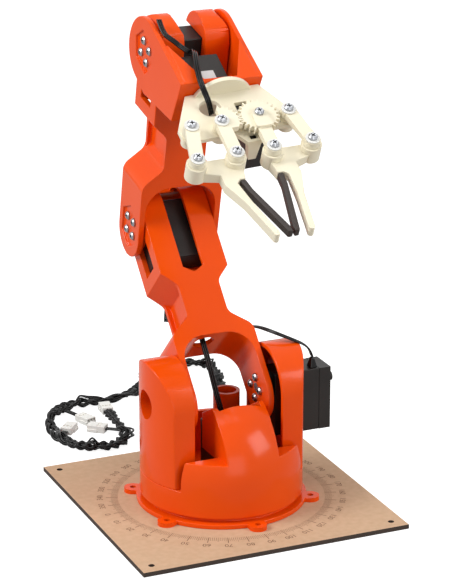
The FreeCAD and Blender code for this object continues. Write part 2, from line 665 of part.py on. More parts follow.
def link_blank(capped):
    """The moulding that both links share: fork, arch, waist and a head that is capped or two cheeks."""
    wall, depth = size("link_wall"), size("link_depth") / 2
    fork, waist = fork_half, size("waist_half")
    head = size("servo_height") / 2 + size("head_wall")
    reach, length = size("leg_reach"), size("link_length")
    crown = length + size("link_head_reach")
    bend = size("waist_round")
    half_outline = [(fork, -reach), (fork, size("fork_rise"), size("fork_round")),
                    (waist, size("waist_start"), bend), (waist, size("waist_end"), bend),
                    (head, size("link_head_start")), (head, crown, size("crown_round"))]
    outline = half_outline + mirrored(half_outline, -1)[::-1]
    front_view = prism("XZ", outline, -depth, depth)
    turn = depth * HALF_ROUND
    side_view = [(-depth, -reach, turn), (depth, -reach, turn), (depth, crown, turn), (-depth, crown, turn)]
    solid = common(front_view, prism("YZ", side_view, -fork, fork))
    inside = size("servo_height") / 2
    roof = size("arch_rise") + wall
    flare = size("waist_start") + wall - size("fork_rise")
    recess = size("waist_recess")
    narrow = waist - recess - wall
    half_hollow = [(fork - wall, roof), (narrow, roof + flare), (narrow, size("waist_end") + wall),
                   (inside, size("link_head_start") + wall), (inside, crown)]
    hollow = half_hollow + mirrored(half_hollow, -1)[::-1]
    hollow_side = [(wall - depth, 0), (depth, 0), (depth, crown), (wall - depth, crown - wall, depth - wall)]
    room = common(prism("XZ", hollow, -depth, depth), prism("YZ", hollow_side, -fork, fork))
    leg = fork - size("leg_thickness")
    arch_corner = size("arch_round")
    arch = prism("XZ", [(-leg, -reach), (leg, -reach), (leg, size("arch_rise"), arch_corner),
                        (-leg, size("arch_rise"), arch_corner)], -depth, depth)
    slot = size("slot_half")
    foot = size("slot_start")
    shoulder = foot + size("slot_tip")
    wide = size("slot_flare")
    right_edge = [(slot, shoulder), (slot, crown)]
    flared = [(slot, shoulder), (slot, crown - 2 * wide), (slot + wide, crown)]
    left_edge = mirrored(right_edge if capped else flared, -1)
    slot_outline = [(0, foot), *right_edge, *left_edge[::-1]]
    window = size("window_half")
    windows = box(-fork, fork, -window, window, size("window_low"), size("window_high"))
    lead_hole = rod("Z", (-size("lead_bore_side"), -size("lead_bore_front")), size("lead_bore") / 2,
                    size("arch_rise") - wall, roof)
    low, high = size("waist_start") + recess * GROOVE_START, size("waist_end") - recess
    groove = [(waist - recess, low), (waist - recess, high), (waist + recess, high + 2 * recess),
              (waist + recess, low - 2 * recess)]
    grooves = [prism("XZ", mirrored(groove, side), wall - depth, depth - wall) for side in (-1, 1)]
    room_low = size("link_head_start") + wall
    back_wall = box(-inside, inside, depth - wall, depth, room_low, size("back_wall_end"))
    servo_top = length + size("servo_inset") + size("stack_gap")
    cap = cut(common(solid, box(-inside, inside, 0, depth, servo_top, crown)),
              rod("X", (0, crown - depth), depth - wall, -inside, inside))
    shell = cut(solid, room, arch, windows, lead_hole, *grooves)
    if capped:
        return fuse(cut(shell, prism("XZ", slot_outline, -depth, 0)), back_wall, cap)
    far = slot + wall + wide
    side_walls = fuse(*[box(*span(side, slot, far), -depth, depth, room_low, crown) for side in (-1, 1)])
    servo_half = size("servo_width") / 2 + size("stack_gap")
    servo_room = box(-inside, inside, -servo_half, depth, room_low, servo_top)
    cheeks = fuse(shell, cap, cut(common(solid, side_walls), servo_room))
    return fuse(cut(cheeks, prism("XZ", slot_outline, -depth, depth)), back_wall)


def head_bores():
    """Room for the horn in the left cheek of a link's head and the pivot's bore in the right one."""
    inside = size("servo_height") / 2
    outside = inside + size("head_wall")
    axis = (0, size("link_length"))
    room = rod("X", axis, size("horn_radius") + size("open_fit"), -outside, -inside)
    bore = rod("X", axis, size("pivot_radius") + size("running_fit"), inside, outside)
    return [room, bore]


def upper_arm_shell():
    leg_out, leg_in = fork_half, fork_half - size("leg_thickness")
    screw = size("screw_bore") / 2 + size("screw_fit")
    bores = horn_bores((0, 0), leg_in, leg_out, screw)
    pin = rod("X", (0, 0), size("pivot_radius") + size("running_fit"), -leg_out, -leg_in)
    shaft = rod("X", (0, 0), size("servo_shaft") / 2, leg_in, leg_out)
    part("upper_arm_shell", cut(link_blank(True), pin, shaft, *bores, *head_bores()), UPPER)


def forearm_shell():
    leg_out, leg_in = fork_half, fork_half - size("leg_thickness")
    floor = leg_out - size("pocket_depth")
    screw = size("screw_bore") / 2 + size("screw_fit")
    pocket = screw_pocket(leg_out, floor)
    bores = horn_bores((0, 0), -floor, -leg_in, screw)
    bush = rod("X", (0, 0), size("pivot_radius"), leg_in, leg_out)
    part("forearm_shell", cut(link_blank(False), pocket, bush, *bores, *head_bores()), FORE)


def screw_pocket(face, floor):
    """The six-sided recess around the screws on the left, seen from the side."""
    half, reach = size("pocket_half"), size("pocket_reach")
    shoulder = size("pocket_shoulder")
    outline = [(0, -reach), (half, -shoulder), (half, shoulder), (0, reach), (-half, shoulder),
               (-half, -shoulder)]
    return prism("YZ", outline, -face, -floor)


def screws_along_x(label, centre, head_low, head_high, shank_low, shank_high, place):
    """The four screws of a horn, each a head and a shank."""
    solids = []
    for y, z in horn_points():
        spot = (centre[0] + y, centre[1] + z)
        solids.append(fuse(rod("X", spot, size("head_radius"), head_low, head_high),
                           rod("X", spot, size("screw_bore") / 2, shank_low, shank_high)))
    part(label, fuse(*solids), place)


def horn_along_x(label, low, high, place):
    """A horn disc about X with its bore and screw holes."""
    bores = horn_bores((0, 0), low, high, size("screw_bore") / 2 + size("screw_fit"))
    disc = rod("X", (0, 0), size("horn_radius"), low, high)
    shaft = rod("X", (0, 0), size("servo_shaft") / 2, low, high)
    part(label, cut(disc, shaft, *bores), place)


def shoulder_horn():
    """What turns the upper arm: horn, output shaft and screws on the right leg."""
    leg_out = fork_half
    leg_in = leg_out - size("leg_thickness")
    horn_out = leg_out + size("horn_thickness")
    horn_along_x("shoulder_horn", leg_out, horn_out, UPPER)
    socket = tower_inside + size("tower_wall") + size("servo_socket")
    part("shoulder_servo_shaft", rod("X", (0, 0), size("servo_shaft") / 2, leg_in, socket), UPPER)
    screws_along_x("shoulder_horn_screws", (0, 0), leg_in - size("head_height"), leg_in, leg_in, horn_out,
                   UPPER)


def head_servo(label, place):
    """A standard servo across a link's head, its shaft to the left."""
    half = size("servo_width") / 2
    across = size("servo_height") / 2
    top = size("link_length") + size("servo_inset")
    case = box(-across, across, -half, half, top - size("servo_length"), top)
    socket = rod("X", (0, size("link_length")), size("servo_shaft") / 2 + size("running_fit"),
                 -across, size("servo_socket") - across + size("stack_gap"))
    part(label, cut(case, socket), place)


def straddle_drive(joint, place, inner, outer, floor):
    """Horn, shaft, screws and bush on a fork that straddles a link's head, axis through the origin."""
    horn_near = size("horn_thickness") - inner
    horn_along_x(f"{joint}_horn", -inner, horn_near, place)
    socket = size("servo_socket") - size("servo_height") / 2
    part(f"{joint}_servo_shaft", rod("X", (0, 0), size("servo_shaft") / 2, -inner, socket), place)
    screws_along_x(f"{joint}_horn_screws", (0, 0), -floor - size("head_height"), -floor, -floor, horn_near,
                   place)
    spigot = size("servo_height") / 2
    bush = fuse(rod("X", (0, 0), size("pivot_radius"), spigot, outer),
                rod("X", (0, 0), size("pivot_flange"), outer, outer + size("pivot_flange_thickness")))
    part(f"{joint}_pivot_bush", bush, place)


def elbow_drive():
    outer = fork_half
    straddle_drive("elbow", FORE, outer - size("leg_thickness"), outer, outer - size("pocket_depth"))


ear_inside = size("servo_height") / 2 + size("head_wall") + size("cheek_gap")
ear_outside = ear_inside + size("ear_thickness")


def wrist_block():
    """Two ears about the wrist axis, a front plate and corner webs."""
    reach, plate = size("wrist_reach"), size("wrist_plate")
    top, low, ear = size("wrist_top"), size("wrist_low"), size("ear_radius")
    outline = [(-ear, -ear, size("ear_round")), (-ear, size("ear_low")), (-low, reach), (top, reach),
               (top - size("ear_slope"), -ear, size("ear_top_round"))]
    sides = [prism("YZ", outline, *span(side, ear_inside, ear_outside)) for side in (-1, 1)]
    front = box(-ear_inside, ear_inside, -low, top, reach - plate, reach)
    back = reach - plate
    corner = [(ear_inside, size("web_start")), (ear_inside, back), (size("web_inside"), back)]
    webs = []
    for side in (-1, 1):
        webs.append(prism("XZ", mirrored(corner, side), top - plate, top))
        webs.append(prism("XZ", mirrored(corner, side), -low, plate - low))
    floor = ear_outside - size("pocket_depth")
    pocket = screw_pocket(ear_outside, floor)
    bores = horn_bores((0, 0), -floor, -ear_inside, size("screw_bore") / 2 + size("screw_fit"))
    bush = rod("X", (0, 0), size("pivot_radius"), ear_inside, ear_outside)
    horn_room = rod("Z", (size("roll_side"), size("roll_offset")),
                    size("small_horn_radius") + size("open_fit"), reach - plate, reach)
    solid = fuse(*sides, front, *webs)
    part("wrist_block", cut(solid, pocket, bush, *bores, horn_room), WRIST)


def wrist_drive():
    straddle_drive("wrist", WRIST, ear_inside, ear_outside, ear_outside - size("pocket_depth"))


def roll_drive():
    """The small servo behind the front plate that turns the gripper."""
    back = size("wrist_reach") - size("wrist_plate")
    half = size("small_width") / 2
    side, offset = size("roll_side"), size("roll_offset")
    shaft = size("small_shaft") / 2
    low = back - size("small_height")
    near = side + size("small_inset")
    case = box(near - size("small_length"), near, offset - half, offset + half, low, back)
    socket_low = back - size("servo_socket")
    socket = rod("Z", (side, offset), shaft + size("running_fit"), socket_low - size("stack_gap"), back)
    part("roll_servo_case", cut(case, socket), WRIST)
    horn_back = disc_back - size("horn_thickness")
    part("roll_servo_shaft", rod("Z", (0, 0), shaft, socket_low, disc_back), PALM)
    horn = cut(rod("Z", (0, 0), size("small_horn_radius"), horn_back, disc_back),
               rod("Z", (0, 0), shaft, horn_back, disc_back))
    part("roll_horn", horn, PALM)


# Levels of the gripper above the roll axis
palm_top = size("palm_level")
palm_low = palm_top - size("palm_thickness")
boss_top = palm_top + size("post_height")
arm_low = boss_top + size("stack_gap")
arm_top = arm_low + size("gear_thickness")
washer_low = arm_top + size("stack_gap")
head_low = washer_low + size("washer_thickness")
head_top = head_low + size("axle_head_height")
finger_top = boss_top
finger_low = finger_top - size("finger_height")
nut_low = finger_low - size("nut_height")
disc_back = size("wrist_reach") + size("roll_gap")
disc_front = disc_back + size("disc_thickness")
hub = disc_front + size("palm_gap") + size("small_length") - size("small_inset")
pointer_top = arm_top + size("pointer_rise")
axle = size("axle_bore") / 2


def palm_spots():
    """The screws of the palm: the idler's hub and the two outer posts."""
    return [(-size("gear_radius"), hub), (-size("post_half"), hub), (size("post_half"), hub)]


def palm_plate():
    """Disc on the roll axis with the trapezoid plate that carries gears, posts and the servo."""
    disc = rod("Z", (0, 0), size("disc_radius"), disc_back, disc_front)
    rear, front, edge = size("palm_rear_half"), size("palm_front_half"), size("post_radius")
    nose, nose_half, side = size("palm_nose"), size("palm_nose_half"), size("palm_nose_side")
    brow = hub + edge + size("palm_lip")
    corner = size("palm_corner")
    outline = [(rear, disc_back), (front, hub - edge), (front, brow, corner),
               (side + nose_half + edge, brow), (side + nose_half, hub + nose),
               (side - nose_half, hub + nose), (side - nose_half - edge, brow),
               (-front, brow, corner), (-front, hub - edge), (-rear, disc_back)]
    plate = prism("XZ", outline, palm_low, palm_top)
    spots = palm_spots()
    bosses = [rod("Y", spot, edge, palm_top, boss_top) for spot in spots]
    feet = [rod("Y", spot, edge, finger_low, palm_low) for spot in spots]
    holes = [rod("Y", spot, axle, finger_low, boss_top) for spot in spots]
    low_half, drop = size("guard_low_half"), palm_low - size("guard_drop")
    top_half, root = nose_half - size("guard_root"), palm_low + size("guard_root")
    guard_front = hub + nose - size("guard_root")
    guard = prism("XY", [(side - top_half, root), (side - low_half, drop), (side + low_half, drop),
                         (side + top_half, root)],
                  hub + size("small_inset") + size("stack_gap"), guard_front)
    window = size("palm_window")
    window_front = guard_front - size("guard_wall")
    square = box(side - window / 2, side + window / 2, palm_low - size("palm_window_deep"), palm_top,
                 window_front - window, window_front)
    shaft_room = rod("Y", (size("gear_radius"), hub), size("small_shaft"), palm_low, palm_top)
    cable_hole = rod("Y", (-size("gear_radius"), hub - size("palm_hole_back")), size("palm_hole"),
                     palm_low, palm_top)
    servo_window = box(size("gear_radius") - size("small_width") / 2, size("gear_radius"), palm_low, palm_top,
                       hub - size("servo_window_back"), hub - size("servo_window_front"))
    solid = fuse(disc, plate, guard, *bosses, *feet)
    part("palm_plate", cut(solid, *holes, square, shaft_room, cable_hole, servo_window), PALM)


def gripper_servo():
    half = size("small_width") / 2
    centre = size("gear_radius")
    low = palm_low - size("small_height")
    case = box(centre - half, centre + half, low, palm_low,
               hub + size("small_inset") - size("small_length"), hub + size("small_inset"))
    shaft = size("small_shaft") / 2
    socket_low = palm_low - size("servo_socket")
    socket = rod("Y", (centre, hub), shaft + size("running_fit"), socket_low - size("stack_gap"), palm_low)
    part("gripper_servo_case", cut(case, socket), PALM)
    part("gripper_servo_shaft", rod("Y", (centre, hub), shaft, socket_low, pointer_top), PALM)


def gear_teeth(centre_x, start, count):
    """Gear teeth about a hub, count of them from a start angle."""
    pitch, depth = size("gear_radius"), size("tooth_depth")
    root, tip = size("tooth_root") / 2, size("tooth_tip") / 2
    inner, outer = pitch - depth, pitch + depth / 2 - size("running_fit")
    step = 360.0 / size("gear_teeth").value
    teeth = []
    for i in range(count):
        tooth = prism("XZ", [(inner, -root), (outer, -tip), (outer, tip), (inner, root)], arm_low, arm_top)
        tooth.setExpression("Placement", frame("", (centre_x, 0, hub), Y_AXIS, start + step * i))
        teeth.append(tooth)
    return teeth


def arm_outline(side, foot, tip):
    """A straight arm between two pivots, seen from above."""
    half = size("arm_half")
    (x0, z0), (x1, z1) = foot, tip
    return mirrored([(x0 - half, z0), (x1 - half, z1), (x1 + half, z1), (x0 + half, z0)], side)


def swing_arm(side, foot, tip):
    """An arm with round ends, on one side of the palm."""
    ends = [rod("Y", (side * x, z), size("post_radius"), arm_low, arm_top) for x, z in (foot, tip)]
    return [prism("XZ", arm_outline(side, foot, tip), arm_low, arm_top), *ends]


SECTOR_START = -1.5


def pointer(foot):
    """The raised pointer on the driven gear, from its hub towards the arm."""
    root, half, corner = size("pointer_root"), size("pointer_half"), size("tip_round")
    x, z = foot
    far = z + size("pointer_reach")
    outline = [(x - root, z), (x - half, far, corner), (x + half, far, corner), (x + root, z)]
    return [prism("XZ", outline, arm_top, pointer_top), rod("Y", foot, root, arm_top, pointer_top)]


def gear_arms():
    """The driven gear and the toothed sector that it turns, each with its inner arm."""
    centre, radius = size("gear_radius"), size("gear_radius") - size("tooth_depth") / 2
    foot, tip = (centre, hub), (centre, hub + size("arm_length"))
    pin = axle + size("running_fit")
    tooth_count = int(size("gear_teeth").value)
    pitch_angle = 360.0 / tooth_count
    disc = rod("Y", foot, radius, arm_low, arm_top)
    drive = fuse(disc, *gear_teeth(centre, 0.0, tooth_count), *swing_arm(1, foot, tip), *pointer(foot))
    bores = [rod("Y", foot, size("small_shaft") / 2, arm_low, pointer_top),
             rod("Y", tip, pin, arm_low, arm_top)]
    part("drive_gear", cut(drive, *bores), PALM)
    head = rod("Y", foot, size("axle_head"), pointer_top, pointer_top + size("head_height"))
    part("drive_gear_screw", head, PALM)
    # the sector's teeth stand half a pitch off, so that they mesh
    sector_teeth = gear_teeth(-centre, SECTOR_START * pitch_angle, tooth_count // 3)
    sector_box = box(-centre, radius - centre, arm_low, arm_top, hub - radius, hub + size("sector_reach"))
    half_disc = common(rod("Y", (-foot[0], hub), radius, arm_low, arm_top), sector_box)
    idler = fuse(half_disc, *sector_teeth, *swing_arm(-1, foot, tip))
    bores = [rod("Y", (-x, z), pin, arm_low, arm_top) for x, z in (foot, tip)]
    part("idler_gear", cut(idler, *bores), PALM)


def outer_link(label, side):
    """The plain outer link of one finger; its far bore is the open pivot of the linkage."""
    foot = (size("post_half"), hub)
    tip = (size("block_half"), hub + size("arm_length"))
    bores = [rod("Y", (side * foot[0], foot[1]), axle + size("running_fit"), arm_low, arm_top),
             rod("Y", (side * tip[0], tip[1]), axle + size("loop_fit"), arm_low, arm_top)]
    part(label, cut(fuse(*swing_arm(side, foot, tip)), *bores), PALM)


def leaning(points, side):
    """A finger's outline on one side, leaning to the right from its root to its tip."""
    root = hub + size("jaw_root")
    reach = size("finger_reach") - size("jaw_root")
    outline = []
    for x, z, *more in mirrored(points, side):
        beyond = as_size(z) - root
        shift = size("tip_side") * beyond / reach if beyond.value > 0 else 0
        outline.append((x + shift, z, *more))
    return outline


def finger(name, side):
    """One finger with its rubber jaw, screws and washers."""
    pivot = hub + size("arm_length")
    inner, outer, boss = size("gear_radius"), size("block_half"), size("boss_radius")
    bar_top = finger_top - size("bar_drop")
    bar_low = bar_top - size("bar_height")
    half = size("arm_half")
    jaw_root = hub + size("jaw_root")
    root, mid, tip = hub + size("root_reach"), hub + size("mid_reach"), hub + size("finger_reach")
    tip_round = size("tip_round")
    bar = [(inner, pivot - half), (outer, pivot - half), (outer, pivot + half),
           (size("root_out"), pivot + size("bar_shoulder")), (size("root_out"), root, size("root_round")),
           (size("mid_out"), mid), (size("tip_out"), tip, tip_round), (size("tip_in"), tip, tip_round),
           (size("mid_in"), mid), (size("root_in"), root), (size("jaw_root_out"), jaw_root),
           (size("jaw_root_in"), jaw_root), (inner - half, pivot)]
    spots = [(side * inner, pivot), (side * outer, pivot)]
    bosses = [rod("Y", spot, boss, finger_low, finger_top) for spot in spots]
    bores = [rod("Y", spot, axle, finger_low, finger_top) for spot in spots]
    solid = fuse(prism("XZ", leaning(bar, side), bar_low, bar_top), *bosses)
    part(f"{name}_finger", cut(solid, *bores), PALM)
    jaw_tip = hub + size("jaw_reach")
    bow = hub + size("jaw_bow")
    jaw = [(size("jaw_root_in"), jaw_root), (size("jaw_root_out"), jaw_root), (size("jaw_bow_out"), bow),
           (size("jaw_tip_out"), jaw_tip), (size("jaw_gap"), jaw_tip),
           (size("jaw_gap"), jaw_tip - size("jaw_tip_out")), (size("jaw_bow_in"), bow)]
    jaw_top = finger_top - size("jaw_drop")
    part(f"{name}_jaw", prism("XZ", leaning(jaw, side), jaw_top - size("jaw_height"), jaw_top), PALM)
    fasteners(name + "_finger", spots)


def fasteners(name, spots):
    """Axle screws with their nuts, and washers, at the given places in the palm."""
    screws, washers = [], []
    for spot in spots:
        screws.append(fuse(rod("Y", spot, size("axle_head"), head_low, head_top),
                           rod("Y", spot, axle, nut_low, head_low),
                           rod("Y", spot, size("nut_radius"), nut_low, finger_low)))
        ring = rod("Y", spot, size("washer_radius"), washer_low, head_low)
        washers.append(cut(ring, rod("Y", spot, axle, washer_low, head_low)))
    part(f"{name}_screws", fuse(*screws), PALM)
    part(f"{name}_washers", fuse(*washers), PALM)


def gripper():
    palm_plate()
    gripper_servo()
    fasteners("palm", palm_spots())
    gear_arms()
    for name, side in (("left", -1), ("right", 1)):
        outer_link(f"{name}_link", side)
        finger(name, side)


# Routes of the cables, points chosen by hand in the frame of the piece that carries each one
HARNESS_ROUTE = [
    (32, 63, 7.0), (32, 74, 7.0), (36, 90, 8.3), (44, 106, 5.5), (54, 121, 3.2), (61, 141, 3.1),
    (70, 164, 3.1), (79, 186, 3.1), (87, 207, 3.1), (86, 226, 3.1), (73, 238, 3.1), (54, 238.5, 3.1),
    (38.5, 224.5, 3.1), (27, 204, 3.1), (11, 190, 3.1), (-8, 187, 3.1), (-28, 190, 3.1), (-45, 185, 3.1),
    (-58, 170, 3.1),
    (-63, 147, 3.1), (-61, 127, 3.1), (-54.6, 111.4, 3.1), (-39, 105, 3.1), (-23.4, 111.4, 3.1),
    (-17, 127, 3.1), (-16, 146, 3.1), (-15.3, 158, 3.1), (-14, 168, 3.1),
]
PLUG_ROUTES = [
    [(-43.5, 183.5, 3.1), (-39.5, 176, 3.1), (-36, 167, 2.6)],
    [(-17, 128, 3.1), (-22, 133.5, 3.1), (-27, 138, 2.6)],
    [(-62, 133, 3.1), (-58.5, 139.5, 3.1), (-54.5, 144, 2.6)],
]
SHOULDER_LEAD_ROUTE = [
    (60.85, -16.82, 8.88), (59.3, -20.25, 12.45), (54.6, -22.87, 15.76), (48.5, -23.93, 18.89),
    (42.0, -23.13, 23.4), (36.5, -18.47, 30.09), (33.8, -10.9, 36.65), (32.5, -0.89, 42.1),
    (29, 7, 45), (22, 16.5, 50.5), (14, 21, 56), (6.5, 20.5, 62), (2, 15, 69), (1, 7.5, 75.5),
]
ARCH_LEAD_ROUTE = [(-4, -5, 46), (-4, -5, 32), (-2.5, 0, 17), (0, 8, 2), (2, 14, -11)]
ELBOW_LEAD_ROUTE = [(-6, 10.5, 89), (-6.5, 12, 83), (-7.5, 17.3, 77.5), (-11, 20.8, 71), (-13, 22, 63)]
FOREARM_LEAD_ROUTE = [
    (-13, 14, 112), (-17, 19, 103), (-19, 20.5, 90), (-15, 20, 76), (-7, 19.3, 64.5), (-3, 12.5, 55),
]
WRIST_LEAD_ROUTE = [
    (-22.5, 27, 0), (-22.8, 24.5, 10), (-18.2, 24.5, 17), (-13.3, 21.8, 21.5), (-8, 18.8, 23.2),
]
GRIPPER_LEAD_ROUTE = [
    (-5, 18.5, 21), (-8, 25.5, 27.5), (-13, 29.5, 41), (-16, 30, 54), (-16, 28, 64), (-13.5, 23, 71.5),
    (-11.5, 15.5, 73.5),
]
# share of the shorter run that a bend takes up, and how closely a cord's volume fits its length
BEND_SHARE = 0.45
VOLUME_SHARE = 0.01


def tangent_path(points):
    """Straight runs joined by the widest arcs that the runs allow, and the arcs' radii."""
    spots = [FreeCAD.Vector(*p) for p in points]
    edges, radii = [], []
    start = spots[0]
    for before, corner, after in zip(spots, spots[1:], spots[2:]):
        back = (before - corner).normalize()
        ahead = (after - corner).normalize()
        half_turn = (math.pi - back.getAngle(ahead)) / 2
        reach = BEND_SHARE * min((corner - before).Length, (after - corner).Length)
        radius = reach / math.tan(half_turn)
        enter, leave = corner + back * reach, corner + ahead * reach
        middle = corner + (back + ahead).normalize() * (radius / math.cos(half_turn) - radius)
        edges += [Part.LineSegment(start, enter).toShape(), Part.Arc(enter, middle, leave).toShape()]
        radii.append(radius)
        start = leave
    edges.append(Part.LineSegment(start, spots[-1]).toShape())
    return Part.Wire(edges), radii


def tube(points, diameter):
    """A round cord along a route; its volume is its section times its length."""
    path, radii = tangent_path(points)
    heading = FreeCAD.Vector(*points[1]) - FreeCAD.Vector(*points[0])
    ring = Part.Circle(FreeCAD.Vector(*points[0]), heading, diameter / 2).toShape()
    solid = path.makePipeShell([Part.Wire(ring)], True, False)
    expected = math.pi * diameter ** 2 / 4 * path.Length
    if abs(solid.Volume - expected) > VOLUME_SHARE * expected:
        raise RuntimeError("a cord's volume does not match its length")
    return solid, path.Length, min(radii)


def cable(label, routes, diameter, place):
    """One or more cords as a sub-part of their own."""
    solids = []
    for points in routes:
        solid, length, bend = tube(points, diameter.value)
        print(f"{label}: {length:.0f} mm long, tightest bend {bend:.1f} mm")
        solids.append(solid)
    item = doc.addObject("Part::Feature", label)
    item.Shape = solids[0] if len(solids) == 1 else Part.makeCompound(solids)
    part(label, item, place)


def harness():
    """The braided bundle behind the board, the clip it leaves from and its connectors."""
    side, back, half = size("gland_side"), size("gland_back"), size("gland_wide") / 2
    deep = size("gland_deep") / 2
    part("harness_clip", box(side - half, side + half, back - deep, back + deep, board_top,
                             board_top + size("gland_tall")), BASE)
    cable("harness", [HARNESS_ROUTE], size("harness_wide"), BASE)
    cable("connector_leads", PLUG_ROUTES, size("lead_wide"), BASE)
    plugs = []
    for route in [*PLUG_ROUTES, HARNESS_ROUTE]:
        (x0, y0, _), (x1, y1, _) = route[-2:]
        heading = math.degrees(math.atan2(y1 - y0, x1 - x0))
        wide, step = size("plug_wide") / 2, size("plug_step_wide") / 2
        shell = fuse(box(0, size("plug_long"), -wide, wide, 0, size("plug_tall")),
                     box(size("plug_step"), size("plug_long"), -step, step, 0, size("plug_step_tall")))
        shell.setExpression("Placement", frame("", (x1, y1, size("plug_lift")), Z_AXIS, heading))
        plugs.append(shell)
    part("connectors", fuse(*plugs), BASE)


def leads():
    """The servo leads that show on the arm, and the sleeve where the shoulder's leaves its servo."""
    top = shoulder_axis + size("servo_inset")
    half, wide = size("grommet_long") / 2, size("grommet_wide") / 2
    sleeve = doc.addObject("Part::Wedge", "sleeve")
    neck = size("lead_wide") / 2
    limits = {"Xmin": -wide, "Xmax": wide, "Ymin": 0, "Ymax": size("grommet_tall"), "Zmin": -half,
              "Zmax": half, "X2min": -neck, "X2max": neck, "Z2min": -neck, "Z2max": neck}
    for name, amount in limits.items():
        bind(sleeve, name, amount)
    lay(sleeve, (size("grommet_side"), -size("grommet_front"), top), X_AXIS, 90)
    part("shoulder_grommet", sleeve, BASE)
    wide = size("lead_wide")
    cable("shoulder_lead", [SHOULDER_LEAD_ROUTE], wide, UPPER)
    cable("arch_lead", [ARCH_LEAD_ROUTE], wide, UPPER)
    cable("elbow_lead", [ELBOW_LEAD_ROUTE], wide, UPPER)
    cable("forearm_lead", [FOREARM_LEAD_ROUTE], wide, FORE)
    cable("wrist_lead", [WRIST_LEAD_ROUTE], wide, WRIST)
    cable("gripper_lead", [GRIPPER_LEAD_ROUTE], wide, WRIST)


base_board()
base_ring()
base_drive()
turret_drum()
towers()
shoulder_drive()
upper_arm_shell()
shoulder_horn()
head_servo("elbow_servo_case", UPPER)
forearm_shell()
elbow_drive()
head_servo("wrist_servo_case", FORE)
wrist_block()
wrist_drive()
roll_drive()
gripper()
harness()
leads()

doc.recompute()
for item in doc.Objects:
    if "Invalid" in item.State or "Error" in item.State:
        raise RuntimeError(f"{item.Label} failed to build: {item.State}")
for item in parts:
    if item.Shape.isNull() or not item.Shape.isValid():
        raise RuntimeError(f"{item.Label} has no valid shape")

os.makedirs("parts", exist_ok=True)
for item in parts:
    item.Shape.exportStep(f"parts/{item.Label}.step")
print(len(parts), "sub-parts")
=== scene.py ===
# %% [markdown]
# # A desktop robot arm
# The arm stands on a square board of fibreboard, its links are glossy orange mouldings, the gripper is
# cream plastic and everything between is black servos, leads and bright screws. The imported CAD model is
# the frame: every piece here sits where its solid sits and moves with the same body.

# %% Load the frame
import json
import math

import bmesh
import bpy
from mathutils import Matrix, Vector
from mathutils.geometry import area_tri


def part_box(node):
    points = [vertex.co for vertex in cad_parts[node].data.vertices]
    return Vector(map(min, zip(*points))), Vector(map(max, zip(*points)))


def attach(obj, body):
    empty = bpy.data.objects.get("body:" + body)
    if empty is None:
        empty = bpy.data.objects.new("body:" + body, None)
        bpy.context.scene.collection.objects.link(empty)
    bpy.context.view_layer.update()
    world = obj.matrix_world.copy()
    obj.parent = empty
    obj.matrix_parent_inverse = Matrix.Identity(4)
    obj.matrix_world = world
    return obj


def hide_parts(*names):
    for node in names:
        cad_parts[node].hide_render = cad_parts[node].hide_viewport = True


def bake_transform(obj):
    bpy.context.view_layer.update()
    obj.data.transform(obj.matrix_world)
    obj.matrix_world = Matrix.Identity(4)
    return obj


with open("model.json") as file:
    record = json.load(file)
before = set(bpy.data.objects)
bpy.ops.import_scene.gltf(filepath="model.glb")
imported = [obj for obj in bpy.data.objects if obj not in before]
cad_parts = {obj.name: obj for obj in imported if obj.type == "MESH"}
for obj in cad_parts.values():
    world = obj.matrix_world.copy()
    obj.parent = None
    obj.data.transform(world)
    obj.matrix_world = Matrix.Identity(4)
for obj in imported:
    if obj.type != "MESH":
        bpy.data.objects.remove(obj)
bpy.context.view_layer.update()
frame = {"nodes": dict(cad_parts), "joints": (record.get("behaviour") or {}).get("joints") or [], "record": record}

MM = 0.001
nodes = frame["nodes"]
joints = {joint["name"]: joint for joint in frame["joints"]}
body_of = {node: body for body, names in frame["record"]["behaviour"]["bodies"].items() for node in names}
slot_of = {entry["node"]: entry["material_slot"] for entry in frame["record"]["subparts"]}

# %% [markdown]
# ## Directions on the arm
# Each moving piece has its own directions. The joints give them: a link points from its own axis to the
# next one, the gripper points along the roll axis, and its plate faces along the gripper's axles.

# %% Frames of the links
def frame_at(origin, right, ahead):
    """A matrix whose x runs to the right and whose z runs ahead."""
    up = ahead.cross(right)
    return Matrix.Translation(origin) @ Matrix((right, up, ahead)).transposed().to_4x4()


def joint_place(name):
    return Vector(joints[name]["pos_m"])


RIGHT = Vector((1, 0, 0))
shoulder, elbow, wrist = (joint_place(name) for name in ("shoulder", "elbow", "wrist"))
ahead = Vector(joints["wrist_roll"]["axis"])
palm_up = Vector(joints["gripper"]["axis"])
base_frame = Matrix()
upper_frame = frame_at(shoulder, RIGHT, (elbow - shoulder).normalized())
fore_frame = frame_at(elbow, RIGHT, (wrist - elbow).normalized())
wrist_frame = frame_at(wrist, RIGHT, ahead)
palm_frame = frame_at(joint_place("wrist_roll"), palm_up.cross(ahead), ahead)
print("links", round((elbow - shoulder).length / MM), "and", round((wrist - elbow).length / MM), "mm")

# %% [markdown]
# ## Camera
# The photograph was taken from the front left and a little above, with a long lens, so upright lines stay
# nearly upright. The view is level, and the object sits left of the middle of the lens.

# %% Camera at the photograph's angle
AZIMUTH, ELEVATION = math.radians(-23.548), math.radians(18.823)
VIEW_DISTANCE = 2.0036
AIM = Vector((0.1654, 0.3719, 0.003))
LENS = 154.1
back = Vector((math.sin(AZIMUTH) * math.cos(ELEVATION), -math.cos(AZIMUTH) * math.cos(ELEVATION),
               math.sin(ELEVATION)))
lens = bpy.data.cameras.new("camera")
lens.lens = LENS
camera = bpy.data.objects.new("camera", lens)
camera.location = AIM + back * VIEW_DISTANCE
camera.rotation_euler = back.to_track_quat("Z", "Y").to_euler()
bpy.context.scene.collection.objects.link(camera)
bpy.context.scene.camera = camera
print("camera at", [round(c, 3) for c in camera.location])

